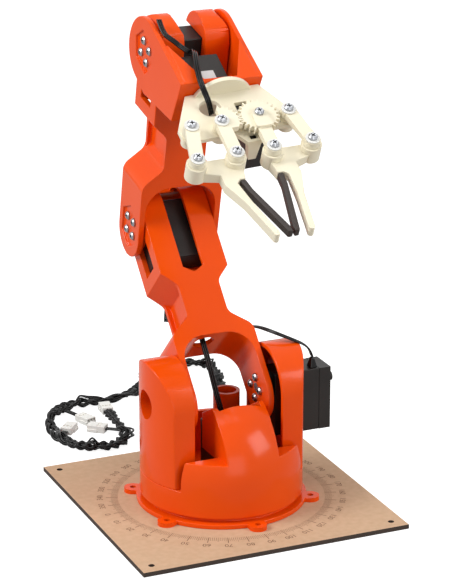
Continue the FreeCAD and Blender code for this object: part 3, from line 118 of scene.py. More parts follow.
# %% [markdown]
# ## Finishes
# Moulded plastic, rubber, steel and fibreboard all change a little over their surface: a slow drift of
# tone, and a fine grain that catches the light. One node group makes both from noise in the object's own
# coordinates, and each finish mixes its own colours, roughness and relief with them.

# %% Node group for the surface grain
def grain_group():
    group = bpy.data.node_groups.new("surface_grain", "ShaderNodeTree")
    for label in ("Drift Scale", "Grain Scale"):
        group.interface.new_socket(label, in_out="INPUT", socket_type="NodeSocketFloat")
    for label in ("Tone", "Height"):
        group.interface.new_socket(label, in_out="OUTPUT", socket_type="NodeSocketFloat")
    inlet = group.nodes.new("NodeGroupInput")
    outlet = group.nodes.new("NodeGroupOutput")
    place = group.nodes.new("ShaderNodeTexCoord")
    for scale, result, detail in (("Drift Scale", "Tone", 4.0), ("Grain Scale", "Height", 2.0)):
        noise = group.nodes.new("ShaderNodeTexNoise")
        noise.inputs["Detail"].default_value = detail
        group.links.new(place.outputs["Object"], noise.inputs["Vector"])
        group.links.new(inlet.outputs[scale], noise.inputs["Scale"])
        group.links.new(noise.outputs["Fac"], outlet.inputs[result])
    return group


surface_grain = grain_group()
print("group", surface_grain.name)

# %% A finish made from the grain
MIX_A, MIX_B, MIX_RESULT = 6, 7, 2


def finish(name, colours, roughness, drift, grain, relief, metallic=0.0, coat=0.0, specular=0.5):
    """A material between two colours and two roughnesses, with a fine relief in metres."""
    material = bpy.data.materials.new(name)
    material.use_nodes = True
    tree = material.node_tree
    shader = tree.nodes["Principled BSDF"]
    shader.inputs["Metallic"].default_value = metallic
    shader.inputs["Coat Weight"].default_value = coat
    shader.inputs["Specular IOR Level"].default_value = specular
    surface = tree.nodes.new("ShaderNodeGroup")
    surface.node_tree = surface_grain
    surface.inputs["Drift Scale"].default_value = drift
    surface.inputs["Grain Scale"].default_value = grain
    colour = tree.nodes.new("ShaderNodeMix")
    colour.data_type = "RGBA"
    colour.inputs[MIX_A].default_value = (*colours[0], 1)
    colour.inputs[MIX_B].default_value = (*colours[1], 1)
    rough = tree.nodes.new("ShaderNodeMapRange")
    rough.inputs["To Min"].default_value, rough.inputs["To Max"].default_value = roughness
    bump = tree.nodes.new("ShaderNodeBump")
    bump.inputs["Strength"].default_value = 1.0
    bump.inputs["Distance"].default_value = relief
    link = tree.links.new
    link(surface.outputs["Tone"], colour.inputs["Factor"])
    link(colour.outputs[MIX_RESULT], shader.inputs["Base Color"])
    link(surface.outputs["Tone"], rough.inputs["Value"])
    link(rough.outputs["Result"], shader.inputs["Roughness"])
    link(surface.outputs["Height"], bump.inputs["Height"])
    link(bump.outputs["Normal"], shader.inputs["Normal"])
    return material


orange = finish("orange_moulding", ((0.79, 0.066, 0.0015), (0.87, 0.087, 0.0025)), (0.14, 0.22), 22, 900,
                0.00002, specular=0.2)
cream = finish("cream_moulding", ((0.80, 0.73, 0.55), (0.86, 0.80, 0.63)), (0.32, 0.46), 40, 1200, 0.00003,
               specular=0.35)
servo_black = finish("servo_case", ((0.012, 0.010, 0.009), (0.022, 0.018, 0.016)), (0.34, 0.50), 60, 2600,
                     0.00006, specular=0.3)
steel = finish("bright_screw", ((0.30, 0.31, 0.33), (0.44, 0.45, 0.47)), (0.20, 0.36), 300, 3000, 0.00002,
               metallic=1.0)
nylon = finish("white_nylon", ((0.78, 0.77, 0.73), (0.86, 0.85, 0.81)), (0.36, 0.50), 80, 1500, 0.00003)
jaw_rubber = finish("jaw_rubber", ((0.020, 0.014, 0.012), (0.042, 0.030, 0.025)), (0.42, 0.60), 90, 1800,
                    0.00008, specular=0.35)
cable_black = finish("cable_sleeve", ((0.004, 0.004, 0.004), (0.010, 0.009, 0.009)), (0.12, 0.22), 120, 2600,
                     0.00002, specular=0.24)
fibreboard = finish("fibreboard", ((0.50, 0.325, 0.195), (0.64, 0.445, 0.295)), (0.62, 0.80), 260, 1800,
                    0.00010, specular=0.25)
burnt = finish("burnt_edge", ((0.018, 0.011, 0.008), (0.060, 0.036, 0.024)), (0.70, 0.88), 180, 1500,
               0.00012)
engraved = finish("engraved_line", ((0.13, 0.066, 0.030), (0.21, 0.110, 0.054)), (0.74, 0.90), 400, 1500,
                  0.00005)
finishes = {"orange_plastic": orange, "cream_plastic": cream, "servo_plastic": servo_black, "steel": steel,
            "white_plastic": nylon, "jaw_rubber": jaw_rubber, "cable": cable_black, "board": fibreboard}
print(len(bpy.data.materials), "materials")

# %% [markdown]
# ## From solids to mouldings
# A CAD solid has knife edges, and a moulded piece never has: each edge is rounded where the mould was
# polished. A copy of the solid's mesh is merged, its flat triangles are joined again, and its edges are
# bevelled. A bevel too wide for a narrow place folds a face over itself, and the fold renders black, so
# such a piece takes a smaller bevel. Steep edges that are left stay sharp, and a weighted normal keeps the
# flats flat and lets only the bevels curve.

# %% Meshes from solids and pieces from meshes
SHARP = math.radians(28)
FLAT = math.radians(0.4)
SHORTEST_EDGE = 1.2 * MM
SAME_PLACE = 0.01 * MM


def merged(node):
    """The node's mesh with its loose triangles joined into whole faces."""
    shape = bmesh.new()
    shape.from_mesh(nodes[node].data)
    bmesh.ops.remove_doubles(shape, verts=shape.verts, dist=SAME_PLACE)
    bmesh.ops.dissolve_limit(shape, angle_limit=FLAT, verts=shape.verts, edges=shape.edges)
    return shape


def sharp_edges(shape):
    """Edges where two faces meet at an angle, apart from the short ones of small holes."""
    return [edge for edge in shape.edges
            if len(edge.link_faces) == 2 and edge.calc_face_angle() > SHARP
            and edge.calc_length() > SHORTEST_EDGE]


def place_mesh(name, shape, materials, smooth=True):
    """An object at the origin from a bmesh."""
    mesh = bpy.data.meshes.new(name)
    shape.to_mesh(mesh)
    shape.free()
    for material in materials:
        mesh.materials.append(material)
    if smooth:
        mesh.shade_smooth()
    piece = bpy.data.objects.new(name, mesh)
    bpy.context.scene.collection.objects.link(piece)
    return piece


def add_shape(target, source, matrix):
    """Copy one bmesh into another at a place, and free the copy."""
    bmesh.ops.transform(source, matrix=matrix, verts=source.verts)
    spare = bpy.data.meshes.new("spare")
    source.to_mesh(spare)
    source.free()
    target.from_mesh(spare)
    bpy.data.meshes.remove(spare)


print("pieces sit at the origin")

# %% Rounding a solid
CORNER = math.radians(50)
ROUNDING_SEGMENTS = 2
ROUNDING_SHARES = (1, 0.8, 0.6, 0.45, 0.3, 0)
FOLD_LIMIT = 10 * MM * MM


def folded(shape):
    """The largest area by which one face of a bmesh lies over itself."""
    laid = {}
    for corners in shape.calc_loop_triangles():
        face = corners[0].face
        laid[face] = laid.get(face, 0.0) + area_tri(*(corner.vert.co for corner in corners))
    return max(area - face.calc_area() for face, area in laid.items())


def rounded(node, radius):
    """A copy of a solid, in place of it, its edges rounded as far as no face folds over by much."""
    for share in ROUNDING_SHARES:
        shape = merged(node)
        if share:
            bmesh.ops.bevel(shape, geom=sharp_edges(shape), offset=radius * share,
                            offset_type="OFFSET", segments=ROUNDING_SEGMENTS, profile=0.5, affect="EDGES",
                            clamp_overlap=False, material=-1)
        if not share or folded(shape) < FOLD_LIMIT:
            break
        shape.free()
    if share < 1:
        print(node, "rounded to", round(radius * share / MM, 2), "mm")
    for edge in shape.edges:
        edge.smooth = len(edge.link_faces) != 2 or edge.calc_face_angle() < CORNER
    piece = place_mesh(node + "_moulding", shape, [finishes[slot_of[node]]])
    weighted = piece.modifiers.new("even_flats", "WEIGHTED_NORMAL")
    weighted.keep_sharp = True
    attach(piece, body_of[node])
    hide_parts(node)
    return piece


print("edges steeper than", round(math.degrees(SHARP)), "degrees are rounded")

# %% [markdown]
# ## Cords
# The servos hang on flat leads of three wires, and behind the board lies the harness, a thick plait of
# wires with white connectors. A cord is one smooth line first: a NURBS spline through the neighbourhood of
# the route's points. Its line is read back from Blender, and every wire is a thin tube that keeps its own
# place beside that line.

# %% A smooth line and the wires beside it
READ_STEPS = 14


def lay_curve(name, points, kind):
    """A curve object of one spline through or near the points."""
    data = bpy.data.curves.new(name, "CURVE")
    data.dimensions = "3D"
    spline = data.splines.new(kind)
    spline.points.add(len(points) - 1)
    for spot, point in zip(spline.points, points):
        spot.co = (*point, 1)
    return bpy.data.objects.new(name, data)


def smooth_line(route, place):
    """Points read from the NURBS spline of a route in millimetres."""
    guide = lay_curve("guide", [place @ (Vector(point) * MM) for point in route], "NURBS")
    spline = guide.data.splines[0]
    spline.order_u = 3
    spline.use_endpoint_u = True
    spline.resolution_u = READ_STEPS
    mesh = bpy.data.meshes.new_from_object(guide)
    line = [vertex.co.copy() for vertex in mesh.vertices]
    bpy.data.objects.remove(guide)
    bpy.data.meshes.remove(mesh)
    return line


def line_length(line):
    return sum((b - a).length for a, b in zip(line, line[1:]))


def headings(line):
    """The direction of the line at each of its points."""
    spots = [line[0], *line, line[-1]]
    return [(after - before).normalized() for before, after in zip(spots, spots[2:])]


def add_wire(shape, line, radius):
    """A round wire with closed ends along a line."""
    wire = lay_curve("wire", line, "POLY")
    wire.data.bevel_depth = radius
    wire.data.bevel_resolution = 1
    wire.data.use_fill_caps = True
    mesh = bpy.data.meshes.new_from_object(wire)
    shape.from_mesh(mesh)
    bpy.data.objects.remove(wire)
    bpy.data.meshes.remove(mesh)


print("wires are round tubes along lines read at", READ_STEPS, "steps a run")

# %% [markdown]
# ## Harness
# In the photograph the harness behind the board is a loose plait: three strands that pass over and under
# each other, each of them a few thin wires. A strand swings from side to side once a pitch and up and down
# twice, a third of a turn behind the next one, which is what plaiting by hand does. The hand isn't steady:
# the pitch and the width swell, and every few centimetres a strand stands out as a small loop.

# %% Plaited harness
HARNESS_ROUTE = [
    (32, 63, 7.0), (32, 74, 7.0), (36, 90, 8.3), (44, 106, 5.5), (54, 121, 3.2), (61, 141, 3.1),
    (70, 164, 3.1), (79, 186, 3.1), (87, 207, 3.1), (86, 226, 3.1), (73, 238, 3.1), (54, 238.5, 3.1),
    (38.5, 224.5, 3.1), (27, 204, 3.1), (11, 190, 3.1), (-8, 187, 3.1), (-28, 190, 3.1), (-45, 185, 3.1),
    (-58, 170, 3.1),
    (-63, 147, 3.1), (-61, 127, 3.1), (-54.6, 111.4, 3.1), (-39, 105, 3.1), (-23.4, 111.4, 3.1),
    (-17, 127, 3.1), (-16, 146, 3.1), (-15.3, 158, 3.1), (-14, 168, 3.1),
]
STRANDS, WIRES_IN_STRAND = 3, 4
PLAIT_PITCH, PLAIT_SIDE, PLAIT_RISE = 24 * MM, 2.6 * MM, 1.0 * MM
STRAND_RADIUS, STRAND_TWIST, HARNESS_WIRE = 0.95 * MM, 31 * MM, 0.72 * MM
SWELL, SWELL_PITCH, UNSTEADY, UNSTEADY_PITCH = 0.4, 61 * MM, 0.22, 83 * MM
LOOPS, LOOP_FIRST, LOOP_STEP, LOOP_WIDE = 13, 30 * MM, 35 * MM, 8 * MM
LOOP_SIDE, LOOP_RISE = 1.9 * MM, 2.15 * MM
TAPER, GATHERED = 6 * MM, 0.35
UP = Vector((0, 0, 1))


def loop_at(travelled, strand):
    """How far a strand stands out beside and above the plait at a place on it."""
    out, up = 0.0, 0.0
    for index in range(LOOPS):
        if index * 2 % STRANDS == strand:
            share = math.exp(-((travelled - LOOP_FIRST - index * LOOP_STEP) / LOOP_WIDE) ** 2)
            out += share * (1 if index % 2 else -1)
            up += share
    return out, up


def plait_wire(line, strand, wire):
    """The line of one wire of one strand, drawn together at both ends of the harness."""
    whole = line_length(line)
    travelled, spots = 0.0, []
    for index, (point, heading) in enumerate(zip(line, headings(line))):
        travelled += (point - line[index - 1]).length if index else 0.0
        side = UP.cross(heading).normalized()
        rise = heading.cross(side)
        spread = min(1.0, GATHERED + min(travelled, whole - travelled) / TAPER)
        unsteady = UNSTEADY * math.sin(math.tau * travelled / UNSTEADY_PITCH)
        swing = math.tau * (travelled / PLAIT_PITCH + unsteady + strand / STRANDS)
        twist = math.tau * (travelled / STRAND_TWIST + unsteady + wire / WIRES_IN_STRAND)
        wide = PLAIT_SIDE * (1 + SWELL * math.sin(math.tau * travelled / SWELL_PITCH))
        out, up = loop_at(travelled, strand)
        thick = STRAND_RADIUS * (1 + up * wire / WIRES_IN_STRAND)
        across = wide * math.sin(swing) + thick * math.cos(twist) + LOOP_SIDE * out
        lifted = LOOP_RISE * up * (1 + wire / (WIRES_IN_STRAND - 1))
        above = PLAIT_RISE * math.sin(2 * swing) + STRAND_RADIUS * math.sin(twist) + lifted
        spots.append(point + (side * across + rise * above) * spread)
    return spots


harness_line = smooth_line(HARNESS_ROUTE, base_frame)
shape = bmesh.new()
for strand in range(STRANDS):
    for wire in range(WIRES_IN_STRAND):
        add_wire(shape, plait_wire(harness_line, strand, wire), HARNESS_WIRE)
plait = place_mesh("harness_plait", shape, [cable_black])
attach(plait, "base")
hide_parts("harness")
print("harness", round(line_length(harness_line) / MM), "mm,", len(plait.data.polygons), "faces")

# %% [markdown]
# ## Connectors
# Four white housings end the harness: one on the plait itself and three on short leads that leave it. A
# housing has three cells in its front for pins, a latch window over each cell and a wider foot. Cutting the
# block in columns gives the cells, and insetting and pushing in their faces opens them.

# %% Connector housings
PLUG_ROUTES = [
    [(-43.5, 183.5, 3.1), (-39.5, 176, 3.1), (-36, 167, 2.6)],
    [(-17, 128, 3.1), (-22, 133.5, 3.1), (-27, 138, 2.6)],
    [(-62, 133, 3.1), (-58.5, 139.5, 3.1), (-54.5, 144, 2.6)],
]
PLUG_LONG, PLUG_WIDE, PLUG_TALL, PLUG_LIFT = 13.0, 8.0, 5.0, 0.1
FOOT_START, FOOT_WIDE, FOOT_TALL = 5.2, 9.2, 2.5
CELL_WALL, CELL_DEEP = 0.4, 5.0
LATCH_START, LATCH_END, LATCH_WALL, LATCH_DEEP = 3.0, 6.5, 0.5, 0.7
PLUG_EDGE, LEAST_PANEL = 0.35, 2.0


def soft_block(low, high):
    """A box between two corners in millimetres, its edges rounded."""
    shape = bmesh.new()
    low, high = Vector(low), Vector(high)
    made = bmesh.ops.create_cube(shape, size=1.0)["verts"]
    bmesh.ops.scale(shape, vec=high - low, verts=made)
    bmesh.ops.translate(shape, vec=(low + high) / 2, verts=made)
    bmesh.ops.bevel(shape, geom=shape.edges[:], offset=PLUG_EDGE, offset_type="OFFSET", segments=2,
                    profile=0.5, affect="EDGES", clamp_overlap=True, material=-1)
    return shape


def slice_at(shape, axis, level):
    """Cut every face where it crosses a level along one axis."""
    spot, normal = Vector(), Vector()
    spot[axis], normal[axis] = level, 1.0
    whole = [*shape.verts, *shape.edges, *shape.faces]
    bmesh.ops.bisect_plane(shape, geom=whole, plane_co=spot, plane_no=normal)


def sink(shape, faces, wall, depth, along):
    """Inset faces one by one and push them in; gives the floors."""
    bmesh.ops.inset_individual(shape, faces=faces, thickness=wall)
    floors = bmesh.ops.extrude_discrete_faces(shape, faces=faces)["faces"]
    corners = {corner for floor in floors for corner in floor.verts}
    bmesh.ops.translate(shape, vec=Vector(along) * depth, verts=list(corners))
    return floors


def housing():
    """One connector, its cable end at the origin and its cells facing along x."""
    half, foot = PLUG_WIDE / 2, FOOT_WIDE / 2
    shape = soft_block((0, -half, 0), (PLUG_LONG, half, PLUG_TALL))
    for level in (-half / 3, half / 3):
        slice_at(shape, 1, level)
    for level in (LATCH_START, LATCH_END):
        slice_at(shape, 0, level)
    cells = [face for face in shape.faces if face.normal.x > 0.99 and face.calc_area() > LEAST_PANEL]
    sink(shape, cells, CELL_WALL, CELL_DEEP, (-1, 0, 0))
    latches = [face for face in shape.faces if face.normal.z > 0.99 and face.calc_area() > LEAST_PANEL
               and LATCH_START < face.calc_center_median().x < LATCH_END]
    sink(shape, latches, LATCH_WALL, LATCH_DEEP, (0, 0, -1))
    rails = soft_block((FOOT_START, -foot, 0.0), (PLUG_LONG - PLUG_EDGE, foot, FOOT_TALL))
    add_shape(shape, rails, Matrix())
    bmesh.ops.scale(shape, vec=(MM, MM, MM), verts=shape.verts)
    return shape


def heading_place(route):
    """A matrix at a route's end, x along its last run and lifted off the table."""
    (x0, y0, _), (x1, y1, _) = route[-2:]
    turn = Matrix.Rotation(math.atan2(y1 - y0, x1 - x0), 4, "Z")
    return Matrix.Translation(Vector((x1, y1, PLUG_LIFT)) * MM) @ turn


all_plugs = bmesh.new()
for route in (*PLUG_ROUTES, HARNESS_ROUTE):
    add_shape(all_plugs, housing(), heading_place(route))
plugs = place_mesh("connector_housings", all_plugs, [nylon], smooth=False)
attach(plugs, "base")
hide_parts("connectors")
print("connectors", len(plugs.data.polygons), "faces")

# %% Short leads of the connectors
FLAT_WIRE = 0.62 * MM
LEAD_WIRES = (-1, 0, 1)


def flat_wires(shape, line, normal, radius):
    """Three wires side by side along a line, flat against a direction."""
    sides = [normal.cross(heading).normalized() for heading in headings(line)]
    for place in LEAD_WIRES:
        add_wire(shape, [point + side * (place * 2 * radius) for point, side in zip(line, sides)], radius)


shape = bmesh.new()
for route in PLUG_ROUTES:
    flat_wires(shape, smooth_line(route, base_frame), UP, FLAT_WIRE)
plug_wires = place_mesh("connector_wires", shape, [cable_black])
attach(plug_wires, "base")
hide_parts("connector_leads")
print("connector leads", len(plug_wires.data.polygons), "faces")

# %% [markdown]
# ## Servo leads
# A servo lead is a ribbon of three wires. Two of them cross the shoulder, one crosses the wrist and one the
# roll joint; those stay where they are laid and ride on no body, the others stay on their link. Each follows
# its own route in the directions of the piece that carries it, and its width lies flat on what it passes.

# %% Leads on the arm
LEADS = {
    "shoulder_lead": (upper_frame, (0, -0.7, 0.7), ("turret", "upper_arm"), [
        (60.85, -16.82, 8.88), (59.3, -20.25, 12.45), (54.6, -22.87, 15.76), (48.5, -23.93, 18.89),
        (42.0, -23.13, 23.4), (36.5, -18.47, 30.09), (33.8, -10.9, 36.65), (32.5, -0.89, 42.1),
        (29, 7, 45), (22, 16.5, 50.5), (14, 21, 56), (6.5, 20.5, 62), (2, 15, 69), (1, 7.5, 75.5)]),
    "arch_lead": (upper_frame, (0, 1, 0.2), ("upper_arm", "turret"), [
        (-4, -5, 46), (-4, -5, 32), (-2.5, 0, 17), (0, 8, 2), (2, 14, -11)]),
    "elbow_lead": (upper_frame, (0, 1, 0), ("upper_arm",), [
        (-6, 10.5, 89), (-6.5, 12, 83), (-7.5, 17.3, 77.5), (-11, 20.8, 71), (-13, 22, 63)]),
    "forearm_lead": (fore_frame, (0, 1, 0), ("forearm",), [
        (-13, 14, 112), (-17, 19, 103), (-19, 20.5, 90), (-15, 20, 76), (-7, 19.3, 64.5), (-3, 12.5, 55)]),
    "wrist_lead": (wrist_frame, (0.2, 1, 0.3), ("forearm", "wrist"), [
        (-22.5, 27, 0), (-22.8, 24.5, 10), (-18.2, 24.5, 17), (-13.3, 21.8, 21.5), (-8, 18.8, 23.2)]),
    "gripper_lead": (wrist_frame, (0, 1, 0.35), ("wrist", "palm"), [
        (-5, 18.5, 21), (-8, 25.5, 27.5), (-13, 29.5, 41), (-16, 30, 54), (-16, 28, 64), (-13.5, 23, 71.5),
        (-11.5, 15.5, 73.5)]),
}
RIBBON_WIRE, SHORTEST_LEAD = 0.66 * MM, 30 * MM
for node, (place, normal, carriers, route) in LEADS.items():
    line = smooth_line(route, place)
    shape = bmesh.new()
    flat_wires(shape, line, place.to_3x3() @ Vector(normal).normalized(), RIBBON_WIRE)
    ribbon = place_mesh(node + "_ribbon", shape, [cable_black])
    if len(carriers) == 2:
        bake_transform(ribbon)
    else:
        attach(ribbon, carriers[0])
    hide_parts(node)
    print(node, round(line_length(line) / MM), "mm")

# %% [markdown]
# ## Mouldings
# The links, turret, ring and wrist block are orange mouldings, the gripper is cream, the servos are black.
# Each gets the rounding that its mould has: small on thin plates and gears, wider on rubber.

# %% Rounded copies of the solids
ROUNDING = {
    "base_ring": 0.5, "turret_drum": 0.6, "left_tower": 0.7, "right_tower": 0.7, "upper_arm_shell": 0.6,
    "forearm_shell": 0.6, "wrist_block": 0.6, "palm_plate": 0.4, "left_link": 0.5, "right_link": 0.5,
    "drive_gear": 0.2, "idler_gear": 0.2, "left_finger": 0.5, "right_finger": 0.5, "left_jaw": 0.9,
    "right_jaw": 0.9, "base_servo_case": 0.8, "shoulder_servo_case": 0.6, "shoulder_servo_cover": 0.3,
    "elbow_servo_case": 0.8, "wrist_servo_case": 0.8, "roll_servo_case": 0.7, "gripper_servo_case": 0.7,
    "base_horn": 0.3, "shoulder_horn": 0.3, "elbow_horn": 0.3, "wrist_horn": 0.3, "roll_horn": 0.3,
    "harness_clip": 0.8, "shoulder_grommet": 0.9, "shoulder_pivot_pin": 0.4, "elbow_pivot_bush": 0.4,
    "wrist_pivot_bush": 0.4, "palm_washers": 0.15, "left_finger_washers": 0.15, "right_finger_washers": 0.15,
}
moulded = {node: rounded(node, radius * MM) for node, radius in ROUNDING.items()}
print(len(moulded), "rounded pieces")

# %% [markdown]
# ## Painted glint
# The small servo behind the gripper carries a pale patch on the side that faces up: a painted highlight for the
# whitish glints on that case. A flat box on the case is enough for it.

# %% Painted glint on the roll servo
GLINT_PATCH_WIDE, GLINT_PATCH_LONG, GLINT_PATCH_AHEAD, GLINT_PATCH_THICK = 0.5, 0.42, 0.2, 0.1 * MM


def extent(node, place):
    """The corners of a solid in the directions of a place."""
    back_again = place.inverted()
    spots = [back_again @ (nodes[node].matrix_world @ corner.co) for corner in nodes[node].data.vertices]
    return [Vector([pick(spot[axis] for spot in spots) for axis in range(3)]) for pick in (min, max)]


# A pale grey film that paints the glints on the roll servo's top: a painted highlight.
painted_glint_film = finish("painted_glint_film", ((0.50, 0.50, 0.50), (0.66, 0.66, 0.65)), (0.25, 0.40), 120, 1500, 0.00002)
low, high = extent("roll_servo_case", wrist_frame)
middle, span = (low + high) / 2, high - low
shape = bmesh.new()
made = bmesh.ops.create_cube(shape, size=1.0)["verts"]
bmesh.ops.scale(shape, vec=(span.x * GLINT_PATCH_WIDE, GLINT_PATCH_THICK, span.z * GLINT_PATCH_LONG), verts=made)
bmesh.ops.translate(shape, vec=(middle.x, high.y + GLINT_PATCH_THICK / 2, middle.z + span.z * GLINT_PATCH_AHEAD),
                    verts=made)
bmesh.ops.transform(shape, matrix=wrist_frame, verts=shape.verts)
# The pale patch below is a painted highlight riding on the wrist.
label = place_mesh("roll_servo_painted_glint", shape, [painted_glint_film], smooth=False)
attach(label, "wrist")
print("label", [round(side / MM, 1) for side in span])

# %% [markdown]
# ## Screws
# Every screw on the arm has a low domed head with a crossed recess. A head starts as two circles joined by
# a band, a smaller circle above them makes the dome, the middle is filled around a cross outline, and the
# cross is pushed in. The recess is painted in a darker steel: painted shade.

# %% Screw heads with a cross
RIM_STEPS = 24
CROSS_REACH, CROSS_HALF, CROSS_DEEP = 0.56, 0.13, 0.5
RIM_HEIGHT, CROWN_REACH, RECESS_REACH = 0.55, 0.7, 0.69
# The recess takes a darker steel than the head: painted shade in the cross.
shaded_recess_steel = finish("screw_recess_painted_shade", ((0.05, 0.05, 0.05), (0.10, 0.10, 0.10)), (0.4, 0.6), 300, 3000, 0.00001,
                    metallic=1.0)


def ring_of(shape, radius, height):
    """The edges of a circle of that radius at that height."""
    made = bmesh.ops.create_circle(shape, cap_ends=False, radius=radius, segments=RIM_STEPS)["verts"]
    bmesh.ops.translate(shape, vec=(0, 0, height), verts=made)
    return list({edge for corner in made for edge in corner.link_edges})


def cross_edges(shape, reach, half, height):
    """The closed outline of a cross."""
    arm = [(half, -half), (reach, -half), (reach, half), (half, half)]
    corners = []
    for quarter in range(4):
        turn = Matrix.Rotation(quarter * math.pi / 2, 2)
        for corner in arm[1:]:
            corners.append(shape.verts.new((*(turn @ Vector(corner)), height)))
    return [shape.edges.new((a, b)) for a, b in zip(corners, corners[1:] + corners[:1])]


def screw_head(radius, height):
    """A domed head that stands on z = 0, its recess on the second material, a darker steel that paints its shade.
    """
    shape = bmesh.new()
    foot = ring_of(shape, radius, 0)
    rim = ring_of(shape, radius, height * RIM_HEIGHT)
    crown = ring_of(shape, radius * CROWN_REACH, height)
    bmesh.ops.bridge_loops(shape, edges=foot + rim)
    bmesh.ops.bridge_loops(shape, edges=rim + crown)
    cross = cross_edges(shape, radius * CROSS_REACH, radius * CROSS_HALF, height)
    bmesh.ops.triangle_fill(shape, use_beauty=True, edges=crown + cross, normal=(0, 0, 1))
    floor = bmesh.ops.extrude_edge_only(shape, edges=cross)["geom"]
    corners = [item for item in floor if isinstance(item, bmesh.types.BMVert)]
    bmesh.ops.translate(shape, vec=(0, 0, -height * CROSS_DEEP), verts=corners)
    bottom = [item for item in floor if isinstance(item, bmesh.types.BMEdge)
              and all(corner in corners for corner in item.verts)]
    bmesh.ops.edgeloop_fill(shape, edges=bottom)
    for face in shape.faces:
        # Faces of the cross recess get the darker steel, painted shade.
        in_painted_shade = max(corner.co.xy.length for corner in face.verts) < radius * RECESS_REACH
        face.material_index = 1 if in_painted_shade and any(corner in corners for corner in face.verts) else 0
    bmesh.ops.recalc_face_normals(shape, faces=shape.faces)
    return shape


def facing(spot, axis, turn=0.0):
    """A place at a point whose z runs along an axis."""
    tilt = axis.to_track_quat("Z", "Y").to_matrix().to_4x4()
    return Matrix.Translation(spot) @ tilt @ Matrix.Rotation(turn, 4, "Z")


sample = screw_head(2.7 * MM, 1.6 * MM)
print("a screw head has", len(sample.faces), "faces")
sample.free()

# %% Screws of the horns, the shoulder servo and the gripper
HEAD_RADIUS, HEAD_HEIGHT, SHANK_RADIUS = 2.7 * MM, 1.9 * MM, 1.3 * MM
HORN_REACH = 7.0
FORK_IN, FORK_OUT, HORN_THICK, POCKET = 24.2, 28.2, 2.4, 1.6
EAR_IN, EAR_OUT = 24.4, 27.4


def add_screw(shape, spot, axis, shank, turn, radius=HEAD_RADIUS, height=HEAD_HEIGHT):
    """A head on a spot and its shank behind it."""
    add_shape(shape, screw_head(radius, height), facing(spot, axis, turn))
    stem = bmesh.new()
    bmesh.ops.create_cone(stem, cap_ends=True, segments=12, radius1=SHANK_RADIUS, radius2=SHANK_RADIUS,
                          depth=shank)
    add_shape(shape, stem, facing(spot - axis * shank / 2, axis))


def horn_screws(node, place, seat, shank, axis):
    """The four screws of a horn, heads on a seat along x."""
    shape = bmesh.new()
    for index in range(4):
        angle = math.radians(45 + 90 * index)
        spot = place @ (Vector((seat, HORN_REACH * math.cos(angle), HORN_REACH * math.sin(angle))) * MM)
        add_screw(shape, spot, axis, shank * MM, 0.4 + index)
    return finish_screws(node, shape)


def finish_screws(node, shape):
    """Screws in place of their solid."""
    piece = place_mesh(node + "_heads", shape, [steel, shaded_recess_steel], smooth=False)
    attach(piece, body_of[node])
    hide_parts(node)
    return piece


LEFT = -RIGHT
horn_screws("shoulder_horn_screws", upper_frame, FORK_IN, FORK_OUT + HORN_THICK - FORK_IN, LEFT)
horn_screws("elbow_horn_screws", fore_frame, POCKET - FORK_OUT, FORK_OUT - POCKET - FORK_IN + HORN_THICK,
            LEFT)
horn_screws("wrist_horn_screws", wrist_frame, POCKET - EAR_OUT, EAR_OUT - POCKET - EAR_IN + HORN_THICK, LEFT)
print("twelve horn screws")

# %% Screws of the servo's cover and the gripper's axles
low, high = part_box("shoulder_servo_screws")
shape = bmesh.new()
for y in (low[1] + HEAD_RADIUS, high[1] - HEAD_RADIUS):
    for z in (low[2] + HEAD_RADIUS, high[2] - HEAD_RADIUS):
        add_screw(shape, Vector((low[0], y, z)), RIGHT, 1.0 * MM, y * 900 + z * 400)
finish_screws("shoulder_servo_screws", shape)

HUB, ARM, POST, BLOCK = 87.7, 26.5, 31.5, 37.0
HEAD_LEVEL, NUT_LEVEL, NUT_TALL, NUT_WIDE = 17.3, -1.4, 2.4, 3.0
POINTER_TOP = 18.3
AXLE_HEAD, AXLE_HEIGHT = 2.9 * MM, 2.3 * MM


def axle(shape, x, z, turn):
    """A gripper axle: head, shank and the nut below."""
    head = palm_frame @ (Vector((x, HEAD_LEVEL, z)) * MM)
    add_screw(shape, head, palm_up, (HEAD_LEVEL - NUT_LEVEL) * MM, turn, AXLE_HEAD, AXLE_HEIGHT)
    nut = bmesh.new()
    bmesh.ops.create_cone(nut, cap_ends=True, segments=6, radius1=NUT_WIDE * MM, radius2=NUT_WIDE * MM,
                          depth=NUT_TALL * MM)
    bmesh.ops.bevel(nut, geom=nut.edges[:], offset=0.25 * MM, offset_type="OFFSET", segments=1, profile=0.5,
                    affect="EDGES", clamp_overlap=True, material=-1)
    spot = palm_frame @ (Vector((x, NUT_LEVEL + NUT_TALL / 2, z)) * MM)
    add_shape(shape, nut, facing(spot, palm_up, turn))


AXLES = {"palm_screws": [(-12, HUB), (-POST, HUB), (POST, HUB)],
         "left_finger_screws": [(-12, HUB + ARM), (-BLOCK, HUB + ARM)],
         "right_finger_screws": [(12, HUB + ARM), (BLOCK, HUB + ARM)]}
for node, spots in AXLES.items():
    shape = bmesh.new()
    for x, z in spots:
        axle(shape, x, z, x * 0.7)
    finish_screws(node, shape)
shape = bmesh.new()
hub_spot = palm_frame @ (Vector((12, POINTER_TOP, HUB)) * MM)
add_screw(shape, hub_spot, palm_up, 1.0 * MM, 0.3, AXLE_HEAD, AXLE_HEIGHT)
finish_screws("drive_gear_screw", shape)
print("servo cover and gripper screws")

# %% Plain shafts
for node in ("base_servo_shaft", "shoulder_servo_shaft", "elbow_servo_shaft", "wrist_servo_shaft",
             "roll_servo_shaft", "gripper_servo_shaft"):
    nodes[node].data.materials.clear()
    nodes[node].data.materials.append(steel)
print("shafts keep their solids")

# %% [markdown]
# ## Board and dial
# The board is laser-cut fibreboard: the flat sides keep their warm brown and every cut side is burnt
# almost black. Around the ring runs an engraved protractor with a stroke at each degree and a number at
# each ten. The strokes are thin strips a hair above the sheet, the numbers are text turned into mesh.

